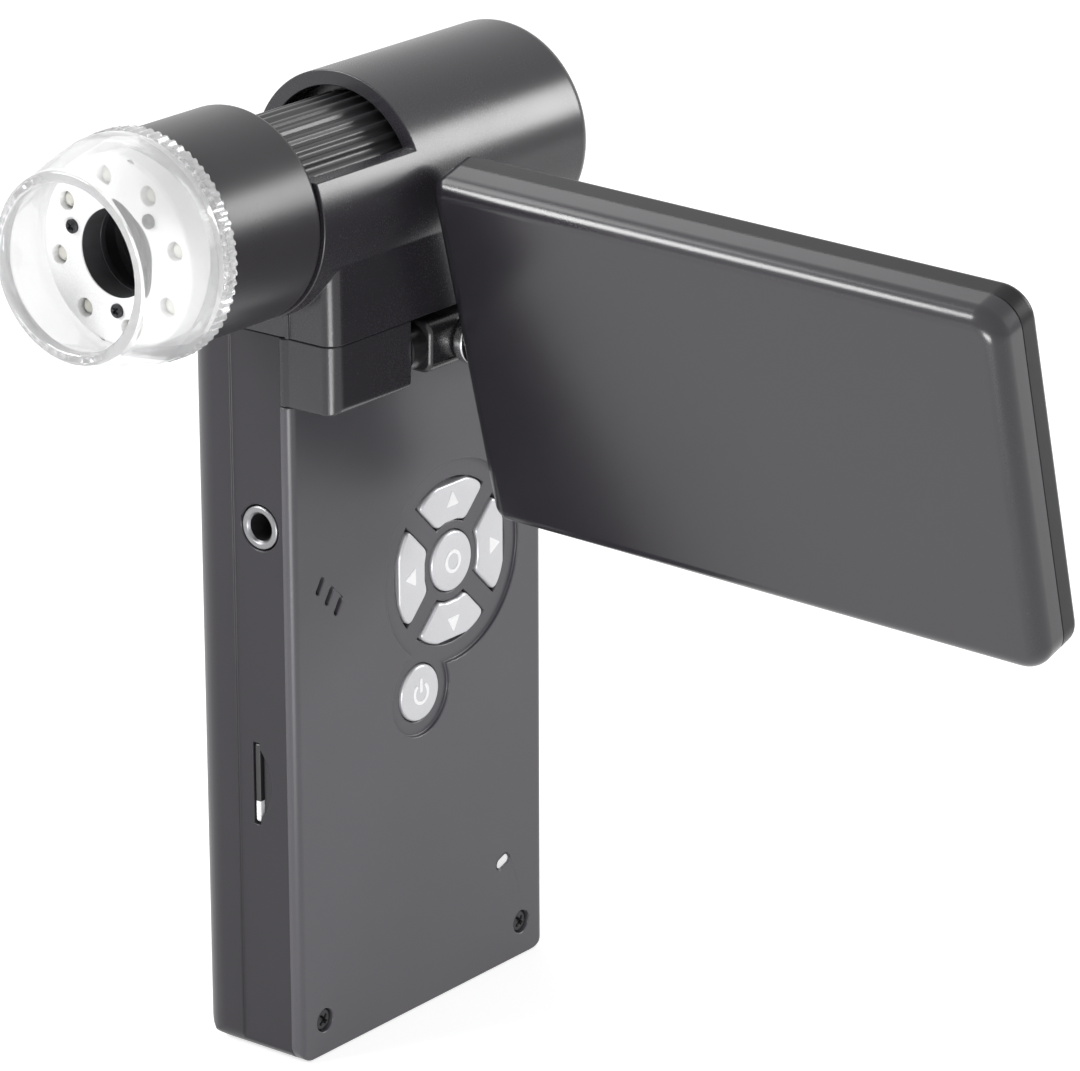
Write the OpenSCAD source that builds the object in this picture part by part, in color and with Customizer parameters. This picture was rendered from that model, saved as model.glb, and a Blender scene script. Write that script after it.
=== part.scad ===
// Hand-held digital microscope with a screen on a two-axis hinge. Millimetres.
// The origin is the centre of the handle's bottom face. +Z is up, -Y is the keypad side and
// +X runs towards the rear of the barrel. The screen stands open, turned about its long axis.

/* [Handle] */
// Width of the handle, across the keypad
handle_w = 51; // [50:0.5:56]
// Depth of the handle, from the keypad plate to the back
handle_d = 18; // [18:0.25:20]
// Height of the handle, up to the seam under the barrel
handle_h = 98.8; // [98:0.2:106]
// Wall of the moulded handle shell and of the saddle
wall = 1.8; // [1.5:0.1:2]
// Radius of the two upright corners at the back
back_r = 5.2; // [4:0.1:5.6]
// Radius of the bottom edge at the back
foot_r = 6; // [4:0.1:6.5]
// Radius of the two bottom corners, seen from the keypad side
base_r = 2.5; // [1.5:0.1:3]
// Width of the sunk strip down each side
strip_w = 8.25; // [8:0.05:9]
// Depth of the sunk strip
strip_depth = 0.3; // [0.2:0.05:0.4]

/* [Keypad plate] */
// Thickness of the keypad plate
cover_t = 1.65; // [1.5:0.05:1.8]
// Radius of the plate's upright front edges
cover_edge_r = 1.2; // [0.8:0.1:1.4]
// Depth of the dish that the keys stand in
dish_depth = 0.5; // [0.3:0.05:0.6]
// Place of the middle of the four-way pad, to the right of the handle's middle
pad_x = 6.6; // [5.5:0.1:7.5]
// Drop of the middle of the four-way pad below the handle's seam
pad_drop = 38.2; // [37.5:0.1:38.8]
// Inner radius of the four-way keys
pad_r_in = 5.6; // [5.5:0.05:5.8]
// Outer radius of the four-way keys
pad_r_out = 11.2; // [10.8:0.05:11.4]
// Width of the diagonal gaps between the four-way keys
pad_split = 3.1; // [2.8:0.05:3.4]
// Radius of the middle key
ok_r = 4.1; // [3.9:0.05:4.2]
// Radius of the power key
power_r = 3.85; // [3.6:0.05:4]
// Place of the power key, to the left of the pad's middle
power_left = 6.8; // [6.5:0.1:7]
// Drop of the power key below the pad's middle
power_drop = 16.4; // [16.2:0.1:16.8]
// Gap around each key
key_gap = 0.15; // [0.1:0.01:0.2]
// Travel of each key
key_travel = 0.4; // [0.3:0.05:0.45]
// Radius of the heads of the two cover screws
cover_screw_r = 1.5; // [1.3:0.05:1.6]
// Distance of the cover screws from the sides of the handle
cover_screw_inset = 4.9; // [4.6:0.1:5.2]
// Height of the cover screws
cover_screw_z = 4.8; // [4.5:0.1:5]

/* [Sockets] */
// Drop of the picture output jack on the left side, below the handle's seam
jack_drop = 26; // [25.5:0.1:28]
// Radius of the jack's bore
jack_bore_r = 1.8; // [1.75:0.01:1.85]
// Depth of the jack's bore
jack_depth = 13; // [12:0.5:14]
// Drop of the middle of the memory card below the handle's seam
card_drop = 61.1; // [59.8:0.1:62.8]
// Width of the memory card
card_w = 11; // [10.8:0.1:11.2]
// Length of the memory card
card_len = 15; // [14.5:0.1:15.5]
// Thickness of the memory card
card_t = 0.8; // [0.7:0.05:0.9]
// Drop of the charging socket on the right side, below the handle's seam
usb_drop = 66.8; // [66:0.1:70]

/* [Battery] */
// Width of the battery
battery_w = 34; // [33:0.5:34.5]
// Length of the battery
battery_len = 53; // [51:0.5:54]
// Thickness of the battery
battery_t = 5.2; // [4.8:0.1:5.3]
// Height of the battery's lower end
battery_z = 10; // [9.5:0.1:10.5]

/* [Barrel] */
// Outer radius of the barrel
barrel_r = 14; // [13.8:0.1:14.6]
// Wall of the barrel
barrel_wall = 2; // [1.8:0.05:2.1]
// Height of the barrel's axis above the handle's seam
barrel_rise = 16.08; // [15.9:0.02:17]
// Shift of the barrel's axis from the handle's middle, towards the keypad
barrel_shift = 3.4; // [3:0.1:3.6]
// Reach of the housing past the handle's left side
barrel_overhang = 2.5; // [2.2:0.1:3]
// Radius of the barrel's rear edge
barrel_edge_r = 2; // [1:0.1:2.2]
// Length of the window over the focus wheel
window_len = 19.2; // [17:0.1:20]
// Height of the window's lower edge above the barrel's axis
window_rise = 5.8; // [5:0.1:6.5]
// Length of the front tube
front_len = 16.5; // [16:0.1:18]
// Radius by which the front tube is smaller than the housing
front_step = 0.25; // [0.1:0.05:0.4]

/* [Focus] */
// Gap between the focus wheel's ribs and the barrel's bore
wheel_room = 1.2; // [1.1:0.05:1.5]
// Number of ribs on the focus wheel
wheel_ribs = 40; // [30:2:48]
// Depth of the grooves between the ribs
rib_depth = 0.45; // [0.3:0.05:0.5]
// Outer radius of the lens carriage
carriage_r = 6.95; // [6.8:0.05:7.1]
// Travel of the lens carriage, each way
lens_travel = 3; // [2:0.1:3.05]
// Radial clearance of the running fits
running_gap = 0.05; // [0.03:0.01:0.08]

/* [Front end] */
// Radius of the white reflector cup that the clear cap slides over
snout_r = 11.8; // [11.6:0.05:12]
// Length of the snout
snout_len = 3.3; // [3:0.1:3.6]
// Radius of the dark bore in the middle
bore_r = 5.6; // [5.4:0.05:5.8]
// Number of lamps in the ring
lamp_count = 8; // [4:1:10]
// Radius of the circle of lamps
lamp_ring_r = 9.4; // [9.2:0.05:9.6]
// Radius of the circle of reflector screws
reflector_screw_ring_r = 7.2; // [7:0.05:7.3]

/* [Clear cap] */
// Outer radius of the cap's knurled ring
cap_ring_r = 14.6; // [14.3:0.05:15]
// Length of the knurled ring
cap_ring_len = 2.4; // [2:0.1:2.8]
// Number of teeth on the knurled ring
cap_teeth = 72; // [48:4:84]
// Outer radius of the cap's rim
cap_rim_r = 12; // [11.8:0.1:12.6]
// Length of the cap
cap_len = 14.3; // [13:0.1:16]
// Wall of the cap
cap_wall = 1.5; // [1.2:0.05:1.6]

/* [Hinge] */
// Height of the hinge block
block_h = 9.05; // [9:0.05:9.6]
// Reach of the hinge block in front of the keypad plate
block_reach = 7.05; // [7:0.05:7.4]
// Width of the notch in the hinge block
notch_w = 20; // [19.5:0.1:21]
// Distance of the fold axis behind the block's front face
fold_inset = 2.55; // [2.5:0.01:2.7]
// Drop of the fold axis below the handle's seam
fold_drop = 4.3; // [4.25:0.01:4.5]
// Radius of the fold pins
fold_pin_r = 1.49; // [1.4:0.01:1.5]
// Half width of the hinge knuckle, up and down
knuckle_half = 3.4; // [3.3:0.02:3.4]
// Width of the hinge knuckle along the fold axis
knuckle_w = 14.4; // [14:0.1:14.8]
// Radius of the swivel shaft
swivel_r = 1.86; // [1.8:0.01:1.9]
// Turn of the screen about its long axis
screen_tilt = 16.5; // [0:0.5:20]
// Droop of the screen's far end
screen_droop = 1.41; // [0:0.01:2]

/* [Screen] */
// Length of the screen housing
screen_len = 85.2; // [84:0.1:92]
// Width of the screen housing
screen_w = 51.3; // [51:0.1:56]
// Thickness of the screen housing
screen_t = 8.04; // [8:0.02:9]
// Thickness of the screen's back shell
back_t = 4.8; // [4.6:0.05:5]
// Wall of the screen's two shells
screen_wall = 1.5; // [1.3:0.05:1.6]
// Distance of the screen's near end from the fold axis
screen_off = 5.1; // [5:0.05:5.6]
// Radius of the screen's back edges
screen_back_r = 2.5; // [1.5:0.1:2.8]
// Radius of the screen's front edges
screen_front_r = 1; // [0.6:0.1:1.2]
// Radius of the two far corners
far_r = 4; // [3:0.1:4.5]
// Radius of the two corners next to the hinge
near_r = 2.5; // [2:0.1:3]
// Length of the window over the picture
picture_len = 62; // [60:0.1:63]
// Width of the window over the picture
picture_w = 46.5; // [44:0.1:46.6]

/* [Hidden] */
$fn = 96;

// Clearances and small sizes that several pieces share
seam = 0.05;             // hairline gap between two mouldings
fit_gap = 0.02;          // radial gap of a piece that is pressed or screwed into another
through = 1;             // how far a cut runs past the face it opens
thread_r = 0.8;          // radius of the small self-tapping screws
screw_head_t = 0.9;      // thickness of their heads
boss_wall = 1.1;         // wall of a screw boss around its thread
cover_thread = 5.8;      // how far each kind of screw reaches into its boss
board_thread = 5;
hinge_thread = 6;
thread_rest = 0.3;       // length of hole left past a screw's tip
board_t = 1.2;           // thickness of the main board

// Handle
half_w = handle_w / 2;
front_y = -handle_d / 2;
back_y = handle_d / 2;
plate_y = front_y + cover_t;          // back of the keypad plate, front of the rear shell
inner_half = half_w - wall;
inner_back_y = back_y - wall;
roof_z = handle_h - wall;
block_z = handle_h - block_h;         // underside of the hinge block
block_front_y = front_y - block_reach;
block_side = 0.3;                     // how far the block's lumps stand in from the sides
block_corner_r = 2.1;
block_lip_r = 1.2;
cable_hole = [24, 9];                 // hole in the handle's roof for the wires
tongue_inset = 6;                     // tongue at the top of the keypad plate
tongue_root = 4;
tongue_len = 2;
tongue_t = 1;

// Boards
board_y = -1;                         // front face of the main board
board_back_y = board_y + board_t;
board_low_z = cover_screw_z + 4.4;
board_high_z = block_z - 4;
post_r = thread_r + boss_wall;
post_x = inner_half - 2.5;
post_low_z = board_low_z + 4;
post_high_z = board_high_z - 3;

// Keys
pad_z = handle_h - pad_drop;
key_flange = 0.5;                     // how far a key's flange stands out behind the plate
key_flange_t = 0.6;
key_flange_y = plate_y + seam;
key_stem_r = 1.1;
switch_t = 0.6;
switch_w = 3.4;
switch_gap = 0.05;                    // gap left over a switch when its key is pressed home
pad_key_r = (pad_r_in + pad_r_out) / 2;
key_board_t = 0.8;
key_stem_y = key_flange_y + key_flange_t + 0.9;
key_board_y = key_stem_y + key_travel + switch_gap + switch_t;
power_x = pad_x - power_left;
power_z = pad_z - power_drop;
dish_rim = 2.6;                       // width of the dish around the four-way keys
power_dish_rim = 2.05;
key_board_left = 7.8;                 // reach of the key board past the power key, and below it
key_board_below = 6.2;
key_board_right = 15.4;               // reach of the key board past the pad's middle, and above it
key_board_above = 13.4;
key_board_low = [power_x - key_board_left, power_z - key_board_below];
key_board_high = [pad_x + key_board_right, pad_z + key_board_above];
key_post_inset = 2;
switch_places = [[pad_x, pad_z + pad_key_r], [pad_x, pad_z - pad_key_r],
                 [pad_x - pad_key_r, pad_z], [pad_x + pad_key_r, pad_z],
                 [pad_x, pad_z], [power_x, power_z]];

// Speaker, behind three slanted slots
speaker_r = 4.5;
speaker_t = 2.6;
collar_r = speaker_r + 0.7;
speaker_x = -(inner_half - collar_r - 0.1);
speaker_z = pad_z + 2.3;
slot_len = 2.4;
slot_w = 0.8;
slot_slant = 57;
slot_pitch = [1.75, -1.85];

// Charge light, in the plate's lower right corner
light_x = half_w - 8.8;
light_z = cover_screw_z + 10.1;
light_len = 2.6;
light_w = 1.4;
light_slant = 20;

// Picture output jack, on the left side
jack_y = board_y - 2.4;
jack_z = handle_h - jack_drop;
jack_ring_r = jack_bore_r + 1.1;
jack_recess = 0.2;
jack_half = 3;

// Memory card and its socket, on the left side
card_z = handle_h - card_drop;
card_y = board_y - 1.4;               // front face of the card
card_out = 0.6;                       // how far the card's end stands in from the side
card_gap = 0.15;
socket_skin = 0.35;
scoop_z = 9.9;                        // height of the finger scoop over the card's edge
scoop_depth = 2.05;

// Charging socket, on the right side
usb_z = handle_h - usb_drop;
usb_w = 7.6;
usb_h = 3.9;
usb_skin = 0.4;
usb_len = 9.2;
usb_gap = 0.15;

// Battery, its bay and its door
bay_gap = 0.5;
bay_wall = 0.8;
bay_half = battery_w / 2 + bay_gap;
bay_low_z = battery_z - bay_gap;
bay_high_z = battery_z + battery_len + 1.5;
battery_y = inner_back_y - battery_t - 0.1;
bay_floor_y = battery_y - 0.1;
door_t = 1.2;
door_lap = 1.5;                       // width of the ledge that the door rests on
door_gap = 0.15;
door_r = 2;
door_lip = 0.8;
contact_x = 5;
thumb_rest = [16, 4];                 // size of the thumb rest on the door, and its depth
thumb_rest_depth = 0.6;
thumb_rest_drop = 5;

// Barrel
barrel_y = -barrel_shift;
barrel_z = handle_h + barrel_rise;
barrel_bore_r = barrel_r - barrel_wall;
wheel_r = barrel_bore_r - wheel_room;
housing_x = -(half_w + barrel_overhang);
window_end_x = housing_x + window_len;
front_r = barrel_r - front_step;
front_x = housing_x - front_len;      // front face of the front tube
front_lip_r = 1;
snout_x = front_x - snout_len;
bearing_t = 2;
journal_r = carriage_r + 1.5;
bearing_r = journal_r + running_gap;
wheel_end_gap = 0.2;
wheel_front_x = housing_x + wheel_end_gap;
wheel_rear_x = window_end_x + 3.4;
front_web_x = housing_x - 1.6 - bearing_t;
rear_web_x = wheel_rear_x + wheel_end_gap;
journal_front_x = front_web_x + wheel_end_gap;
journal_rear_x = rear_web_x + bearing_t - wheel_end_gap;
spigot_gap = 0.35;                    // gap between the wheel's ribs and the front tube's spigot
spigot_t = wheel_room - spigot_gap;
spigot_len = 3;
barrel_post_x = half_w - 5.5;
barrel_post_y = 3;
barrel_post_r = 2.4;

// Lens carriage, which slides in the wheel and in the front tube's sleeve
slide_r = carriage_r + running_gap;
sleeve_r = slide_r + 1.2;
nose_t = 1.6;                         // wall at the front of the snout
nose_x = snout_x + nose_t;
lens_rest_gap = 0.15;
carriage_front_x = nose_x + lens_travel + lens_rest_gap;
carriage_rear_x = rear_web_x + bearing_t - lens_travel - 2.8;
carriage_wall = 1.15;
lens_seat_r = carriage_r - carriage_wall;
lens_tube_r = lens_seat_r - 0.8;
objective_t = 3;
retainer_t = 2;
rear_lens_t = 2;
key_rib_w = 1.8;
key_rib_len = 5;
key_rib_h = 1.05;
key_slot_gap = 0.1;

// Image sensor
sensor_room = 7;                      // length between the rear bearing and the sensor's board
sensor_board_x = rear_web_x + bearing_t + sensor_room;
sensor_board_r = barrel_bore_r - 0.5;
sensor_board_t = 1;
sensor_w = 8;
sensor_t = 1.5;
sensor_post_ring_r = barrel_bore_r - 2.2;
sensor_post_r = 1.5;
cap_disc_t = 1.8;
cap_disc_inset = 0.7;
cap_disc_gap = 0.15;

// Lamp ring
led_board_t = 1;
reflector_t = 1.8;
skirt_t = 0.75;                       // wall of the reflector's skirt around the snout
collar_t = 0.7;                       // wall of its collar in the bore
collar_len = 3.5;
reflector_edge_r = 0.5;
snout_core_r = snout_r - skirt_t - seam;
collar_seat_r = bore_r + collar_t + seam;
led_board_x = snout_x - led_board_t;
reflector_x = led_board_x - reflector_t;
collar_end_x = reflector_x + collar_len;
lamp_r = 1;
lamp_t = 1.4;
lamp_gap = 0.2;
reflector_screw_r = 0.9;
reflector_thread_r = 0.5;
reflector_screw_angles = [42, 162, -89];

// Clear cap
cap_gap = 0.3;
cap_back_x = front_x - cap_gap;
cap_shoulder_x = cap_back_x - cap_ring_len;
cap_tip_x = cap_back_x - cap_len;
cap_body_r = cap_ring_r - 0.2;
cap_straight = 2.1;                   // length of the cap before it starts to taper
cap_rim_len = 1.1;
cap_bore_r = snout_r + running_gap;
tooth_depth = 0.35;

// Hinge
fold_y = block_front_y + fold_inset;
fold_z = handle_h - fold_drop;
fold_bore_r = fold_pin_r + 0.01;
knuckle_bore_r = fold_pin_r + 0.04;
pin_seat = 7;                         // length of each fold pin inside the hinge block
fold_pin_end = notch_w / 2 + pin_seat;
pin_depth = 3.6;                      // where each pin's inner end lies, from the middle
pin_hole_depth = 3.4;
knuckle_r = 1.6;
swivel_bore_r = swivel_r + 0.04;
swivel_hollow_r = 1.1;
clip_r = 2.6;
clip_t = 1.4;
clip_pocket_r = clip_r + 0.15;
clip_pocket = 1.6;
collar_gap = 0.1;
swivel_collar_r = 3.2;
washer_r = 3;
washer_gap = 0.1;

// Screen, in its own frame: the fold axis is the origin and its length runs along -Y
screen_half_t = screen_t / 2;
screen_half_w = screen_w / 2;
near_y = -screen_off;
far_y = near_y - screen_len;
split_x = -screen_half_t + back_t;
face_x = screen_half_t - screen_wall; // back of the front frame around the picture
picture_margin = 7.8;                 // distance from the far end to the window over the picture
picture_y = far_y + picture_margin + picture_len / 2;
glass_t = 0.8;
glass_inset = 0.1;
glass_lap = 0.75;
lcd_t = 1.6;
lcd_lap = 1;
lcd_w = screen_w - 2 * screen_wall - 0.7;
lcd_x = face_x - lcd_t;
backlight_t = 1.4;
backlight_x = lcd_x - backlight_t;
screen_board_t = 0.8;
board_inset = 2;
screen_board_x = backlight_x - screen_board_t - 0.5;
screen_post_r = 1.8;
post_inset = 0.1;                     // gap between a post and the end wall that it stands at
screen_screw_r = 1.3;
screen_head_t = 0.8;
shaft_plate_t = 1.5;
shaft_plate_half = 9;
near_post = [near_y - screen_wall - screen_post_r - post_inset, screen_half_w - 5.6];
far_post = [far_y + screen_wall + screen_post_r + post_inset, screen_half_w - 3.6];
screen_places = [[near_post.x, near_post.y], [near_post.x, -near_post.y],
                 [far_post.x, far_post.y], [far_post.x, -far_post.y]];

// ---- Outlines and bars -------------------------------------------------------------------

// What lies outside a rounded corner. side points from the corner into the shape.
module corner_cut(corner, side, r) {
  if (r > 0) {
    difference() {
      translate(corner + [side.x > 0 ? -through : -r, side.y > 0 ? -through : -r])
        square(r + through);
      translate(corner + r * side)
        circle(r);
    }
  }
}

// Rectangle with four radii, from the low corner and then round anticlockwise.
module rounded_rect(low, high, radii) {
  difference() {
    translate(low)
      square(high - low);
    corner_cut(low, [1, 1], radii[0]);
    corner_cut([high.x, low.y], [-1, 1], radii[1]);
    corner_cut(high, [-1, -1], radii[2]);
    corner_cut([low.x, high.y], [1, -1], radii[3]);
  }
}

// An outline in Y and Z, drawn out along X.
module along_x(x0, x1) {
  translate([x0, 0, 0])
    rotate([90, 0, 90])
      linear_extrude(x1 - x0)
        children();
}

// An outline in X and Z, drawn out along Y.
module along_y(y0, y1) {
  translate([0, y1, 0])
    rotate([90, 0, 0])
      linear_extrude(y1 - y0)
        children();
}

// An outline in X and Y, drawn out along Z.
module along_z(z0, z1) {
  translate([0, 0, z0])
    linear_extrude(z1 - z0)
      children();
}

module block(low, high) {
  translate(low)
    cube(high - low);
}

module rod_x(x0, x1, r) {
  translate([x0, 0, 0])
    rotate([0, 90, 0])
      cylinder(h = x1 - x0, r = r);
}

module rod_y(y0, y1, r) {
  translate([0, y1, 0])
    rotate([90, 0, 0])
      cylinder(h = y1 - y0, r = r);
}

module both_sides() {
  children();
  mirror([1, 0, 0])
    children();
}

// ---- Handle ------------------------------------------------------------------------------

// The rear shell's outer form, or its inside when inset is a wall.
module shell_form(inset, low_y, top_z) {
  corner = back_r - inset;
  high_y = back_y - inset;
  intersection() {
    along_z(inset, top_z)
      rounded_rect([-half_w + inset, low_y], [half_w - inset, high_y], [0, 0, corner, corner]);
    along_x(-half_w, half_w)
      rounded_rect([low_y, inset], [high_y, top_z], [0, foot_r - inset, 0, 0]);
    along_y(low_y, high_y)
      rounded_rect([-half_w + inset, inset], [half_w - inset, top_z],
                   [max(base_r - inset, 0.3), max(base_r - inset, 0.3), 0, 0]);
  }
}

// The sunk strips down both sides, between two heights.
module side_strips(z0, z1) {
  both_sides()
    block([half_w - strip_depth, plate_y - through, z0], [half_w + through, plate_y + strip_w, z1]);
}

module screw_y(head_y, tip_y, head_r) {
  rod_y(head_y, head_y + screw_head_t, head_r);
  rod_y(head_y + screw_head_t, tip_y, thread_r);
}

module cover_screw_places() {
  both_sides()
    translate([half_w - cover_screw_inset, 0, cover_screw_z])
      children();
}

module board_screw_places() {
  for (z = [post_low_z, post_high_z])
    both_sides()
      translate([post_x, 0, z])
        children();
}

module barrel_screw_places() {
  both_sides()
    translate([barrel_post_x, barrel_post_y, 0])
      children();
}

module hinge_screw_places() {
  both_sides()
    translate([half_w - 4, 0, fold_z])
      children();
}

module key_post_places() {
  for (x = [key_board_low.x + key_post_inset, key_board_high.x - key_post_inset])
    for (z = [key_board_low.y + key_post_inset, key_board_high.y - key_post_inset])
      translate([x, 0, z])
        children();
}

module battery_opening(grow, y0, y1) {
  along_y(y0, y1)
    rounded_rect([-bay_half - grow, bay_low_z - grow], [bay_half + grow, bay_high_z + grow],
                 [door_r, door_r, door_r, door_r]);
}

module rear_shell() {
  color("#4a484b")
    difference() {
      union() {
        difference() {
          shell_form(0, plate_y, handle_h);
          shell_form(wall, plate_y - through, roof_z);
          side_strips(-through, handle_h + through);
        }
        // Battery bay, screw posts for the board and for the cover
        block([-bay_half - bay_wall, bay_floor_y - bay_wall, bay_low_z - bay_wall],
              [bay_half + bay_wall, inner_back_y + seam, bay_high_z + bay_wall]);
        board_screw_places()
          rod_y(board_back_y, inner_back_y + seam, post_r);
        cover_screw_places()
          rod_y(plate_y, inner_back_y - 2, cover_screw_r + 0.7);
      }
      block([-bay_half, bay_floor_y, bay_low_z], [bay_half, back_y + through, bay_high_z]);
      battery_opening(door_lap, back_y - door_t, back_y + through);
      // Slot for the battery contacts
      block([-contact_x - 2, battery_y + 1.2, bay_high_z - seam],
            [contact_x + 2, battery_y + 2.6, bay_high_z + bay_wall + seam]);
      board_screw_places()
        rod_y(board_back_y - seam, board_back_y + board_thread + thread_rest, thread_r + fit_gap);
      cover_screw_places()
        rod_y(plate_y - seam, plate_y + cover_thread + thread_rest, thread_r + fit_gap);
      translate([-cable_hole.x / 2, -cable_hole.y / 2, roof_z - through])
        cube([cable_hole.x, cable_hole.y, wall + 2 * through]);
      barrel_screw_places()
        translate([0, 0, roof_z - through])
          cylinder(h = wall + 2 * through, r = thread_r + 0.2);
      // Jack, card and charging socket
      translate([0, jack_y, jack_z])
        rod_x(-half_w - through, -inner_half + through, jack_ring_r + 0.15);
      block([-half_w - through, card_y - card_gap, card_z - card_w / 2 - card_gap],
            [-inner_half + through, card_y + card_t + card_gap, card_z + card_w / 2 + card_gap]);
      card_scoop();
      block([inner_half - through, board_y - usb_h - usb_gap, usb_z - usb_w / 2 - usb_gap],
            [half_w + through, board_y + usb_gap, usb_z + usb_w / 2 + usb_gap]);
    }
}

// Half-moon that lets a fingernail reach the card.
module card_scoop() {
  scoop_r = (scoop_z * scoop_z / 4 + scoop_depth * scoop_depth) / (2 * scoop_depth);
  intersection() {
    along_x(-half_w - through, -half_w + wall * 0.6)
      translate([card_y - scoop_depth + scoop_r, card_z])
        circle(scoop_r);
    block([-half_w - through, card_y - scoop_depth - through, card_z - scoop_z],
          [-half_w + wall, card_y, card_z + scoop_z]);
  }
}

module pad_sector(grow, turn) {
  reach = pad_r_out + grow;
  gap = (pad_split / 2 - grow) * sqrt(2);
  intersection() {
    difference() {
      circle(reach);
      circle(pad_r_in - grow);
    }
    rotate(turn)
      polygon([[0, gap], [-2 * reach, gap + 2 * reach], [2 * reach, gap + 2 * reach]]);
  }
}

// Opening for, or outline of, each key, at its place on the plate.
module pad_key_outline(grow, turn) {
  translate([pad_x, pad_z])
    pad_sector(grow, turn);
}

module ok_outline(grow) {
  translate([pad_x, pad_z])
    circle(ok_r + grow);
}

module power_outline(grow) {
  translate([power_x, power_z])
    circle(power_r + grow);
}

module light_outline(grow) {
  half = light_w / 2 + grow;
  run = (light_len - light_w) / 2;
  translate([light_x, light_z])
    rotate(light_slant) {
      translate([-run, -half])
        square([2 * run, 2 * half]);
      for (end = [-run, run])
        translate([end, 0])
          circle(half);
    }
}

module sound_slot() {
  rotate(slot_slant) {
    translate([-(slot_len - slot_w) / 2, -slot_w / 2])
      square([slot_len - slot_w, slot_w]);
    for (end = [-1, 1])
      translate([end * (slot_len - slot_w) / 2, 0])
        circle(slot_w / 2);
  }
}

module front_cover() {
  color("#605e63")
    difference() {
      union() {
        intersection() {
          along_z(0, block_z - seam)
            rounded_rect([-half_w, front_y], [half_w, plate_y], [cover_edge_r, cover_edge_r, 0, 0]);
          along_y(front_y, plate_y)
            rounded_rect([-half_w, 0], [half_w, block_z - seam], [base_r, base_r, 0, 0]);
        }
        // Tongue that hooks in behind the hinge block's plate
        block([-inner_half + tongue_inset, plate_y - seam, block_z - tongue_root],
              [inner_half - tongue_inset, plate_y + tongue_t, block_z + tongue_len]);
        // Collar of the speaker and posts of the key board
        translate([speaker_x, 0, speaker_z])
          rod_y(plate_y - seam, plate_y + speaker_t - 0.4, collar_r);
        key_post_places()
          rod_y(plate_y - seam, key_board_y, thread_r + 0.8);
      }
      // Above the cover itself, the tongue starts at the back of the plate
      block([-inner_half, front_y - through, block_z - seam], [inner_half, plate_y, block_z + tongue_len + through]);
      along_y(front_y - through, front_y + dish_depth) {
        translate([pad_x, pad_z])
          circle(pad_r_out + dish_rim);
        translate([power_x, power_z])
          circle(power_r + power_dish_rim);
      }
      along_y(front_y - through, plate_y + through) {
        for (turn = [0, 90, 180, 270])
          pad_key_outline(key_gap, turn);
        ok_outline(key_gap);
        power_outline(key_gap);
        light_outline(fit_gap);
        for (i = [-1, 0, 1])
          translate([speaker_x, speaker_z] + i * slot_pitch)
            sound_slot();
      }
      along_y(front_y - through, front_y + 0.1)
        light_outline(0.1);
      translate([speaker_x, 0, speaker_z])
        rod_y(plate_y, plate_y + speaker_t, speaker_r + fit_gap);
      key_post_places()
        rod_y(plate_y + 0.3, key_board_y + through, thread_r + fit_gap);
      cover_screw_places() {
        rod_y(front_y - through, plate_y - screw_head_t + 0.4, cover_screw_r + 0.1);
        rod_y(front_y, plate_y + through, thread_r + 0.15);
      }
    }
}

module hinge_block() {
  color("#3e3c40")
    difference() {
      union() {
        along_z(block_z, handle_h)
          rounded_rect([-half_w, front_y], [half_w, plate_y], [cover_edge_r, cover_edge_r, 0, 0]);
        intersection() {
          along_z(block_z, handle_h)
            lump_outline(0);
          along_x(-half_w, half_w)
            rounded_rect([block_front_y, block_z], [front_y + cover_t / 2, handle_h], [block_lip_r, 0, 0, 0]);
        }
      }
      block([-notch_w / 2, block_front_y - through, block_z - through],
            [notch_w / 2, front_y, handle_h + through]);
      both_sides() {
        translate([0, fold_y, fold_z])
          rod_x(notch_w / 2 - through, fold_pin_end, fold_bore_r);
      }
      hinge_screw_places()
        rod_y(plate_y - hinge_thread - thread_rest, plate_y + through, thread_r + fit_gap);
    }
}

// Outline of the block's front part, which the saddle above repeats.
module lump_outline(inset) {
  corner = max(block_corner_r - inset, 0.3);
  rounded_rect([-half_w + block_side + inset, block_front_y + inset],
               [half_w - block_side - inset, front_y + cover_t / 2], [corner, corner, 0, 0]);
}

module main_board() {
  color("#1f5c3a")
    difference() {
      block([-inner_half + 0.5, board_y, board_low_z], [inner_half - 0.5, board_back_y, board_high_z]);
      board_screw_places()
        rod_y(board_y - through, board_back_y + through, thread_r + 0.15);
    }
}

module key_board() {
  color("#1f5c3a")
    difference() {
      block([key_board_low.x, key_board_y, key_board_low.y],
            [key_board_high.x, key_board_y + key_board_t, key_board_high.y]);
      key_post_places()
        rod_y(key_board_y - through, key_board_y + key_board_t + through, thread_r + 0.15);
    }
}

module key_switches() {
  color("#c9c7c2")
    for (place = switch_places)
      translate([place.x - switch_w / 2, key_board_y - switch_t, place.y - switch_w / 2])
        cube([switch_w, switch_t, switch_w]);
}

module speaker() {
  color("#2b2b2d")
    translate([speaker_x, 0, speaker_z])
      rod_y(plate_y, plate_y + speaker_t, speaker_r);
}

module battery() {
  color("#8a8d92")
    along_y(battery_y, battery_y + battery_t)
      rounded_rect([-battery_w / 2, battery_z], [battery_w / 2, battery_z + battery_len], [2, 2, 2, 2]);
}

module battery_contacts() {
  color("#cfa64a")
    for (x = [-contact_x, 0, contact_x])
      translate([x - 0.6, 0, 0]) {
        block([0, battery_y + 1.6, battery_z + battery_len], [1.2, battery_y + 2.2, bay_high_z + bay_wall + 1.8]);
        block([0, board_back_y, bay_high_z + bay_wall + 1.2], [1.2, battery_y + 1.6, bay_high_z + bay_wall + 1.8]);
      }
}

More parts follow.
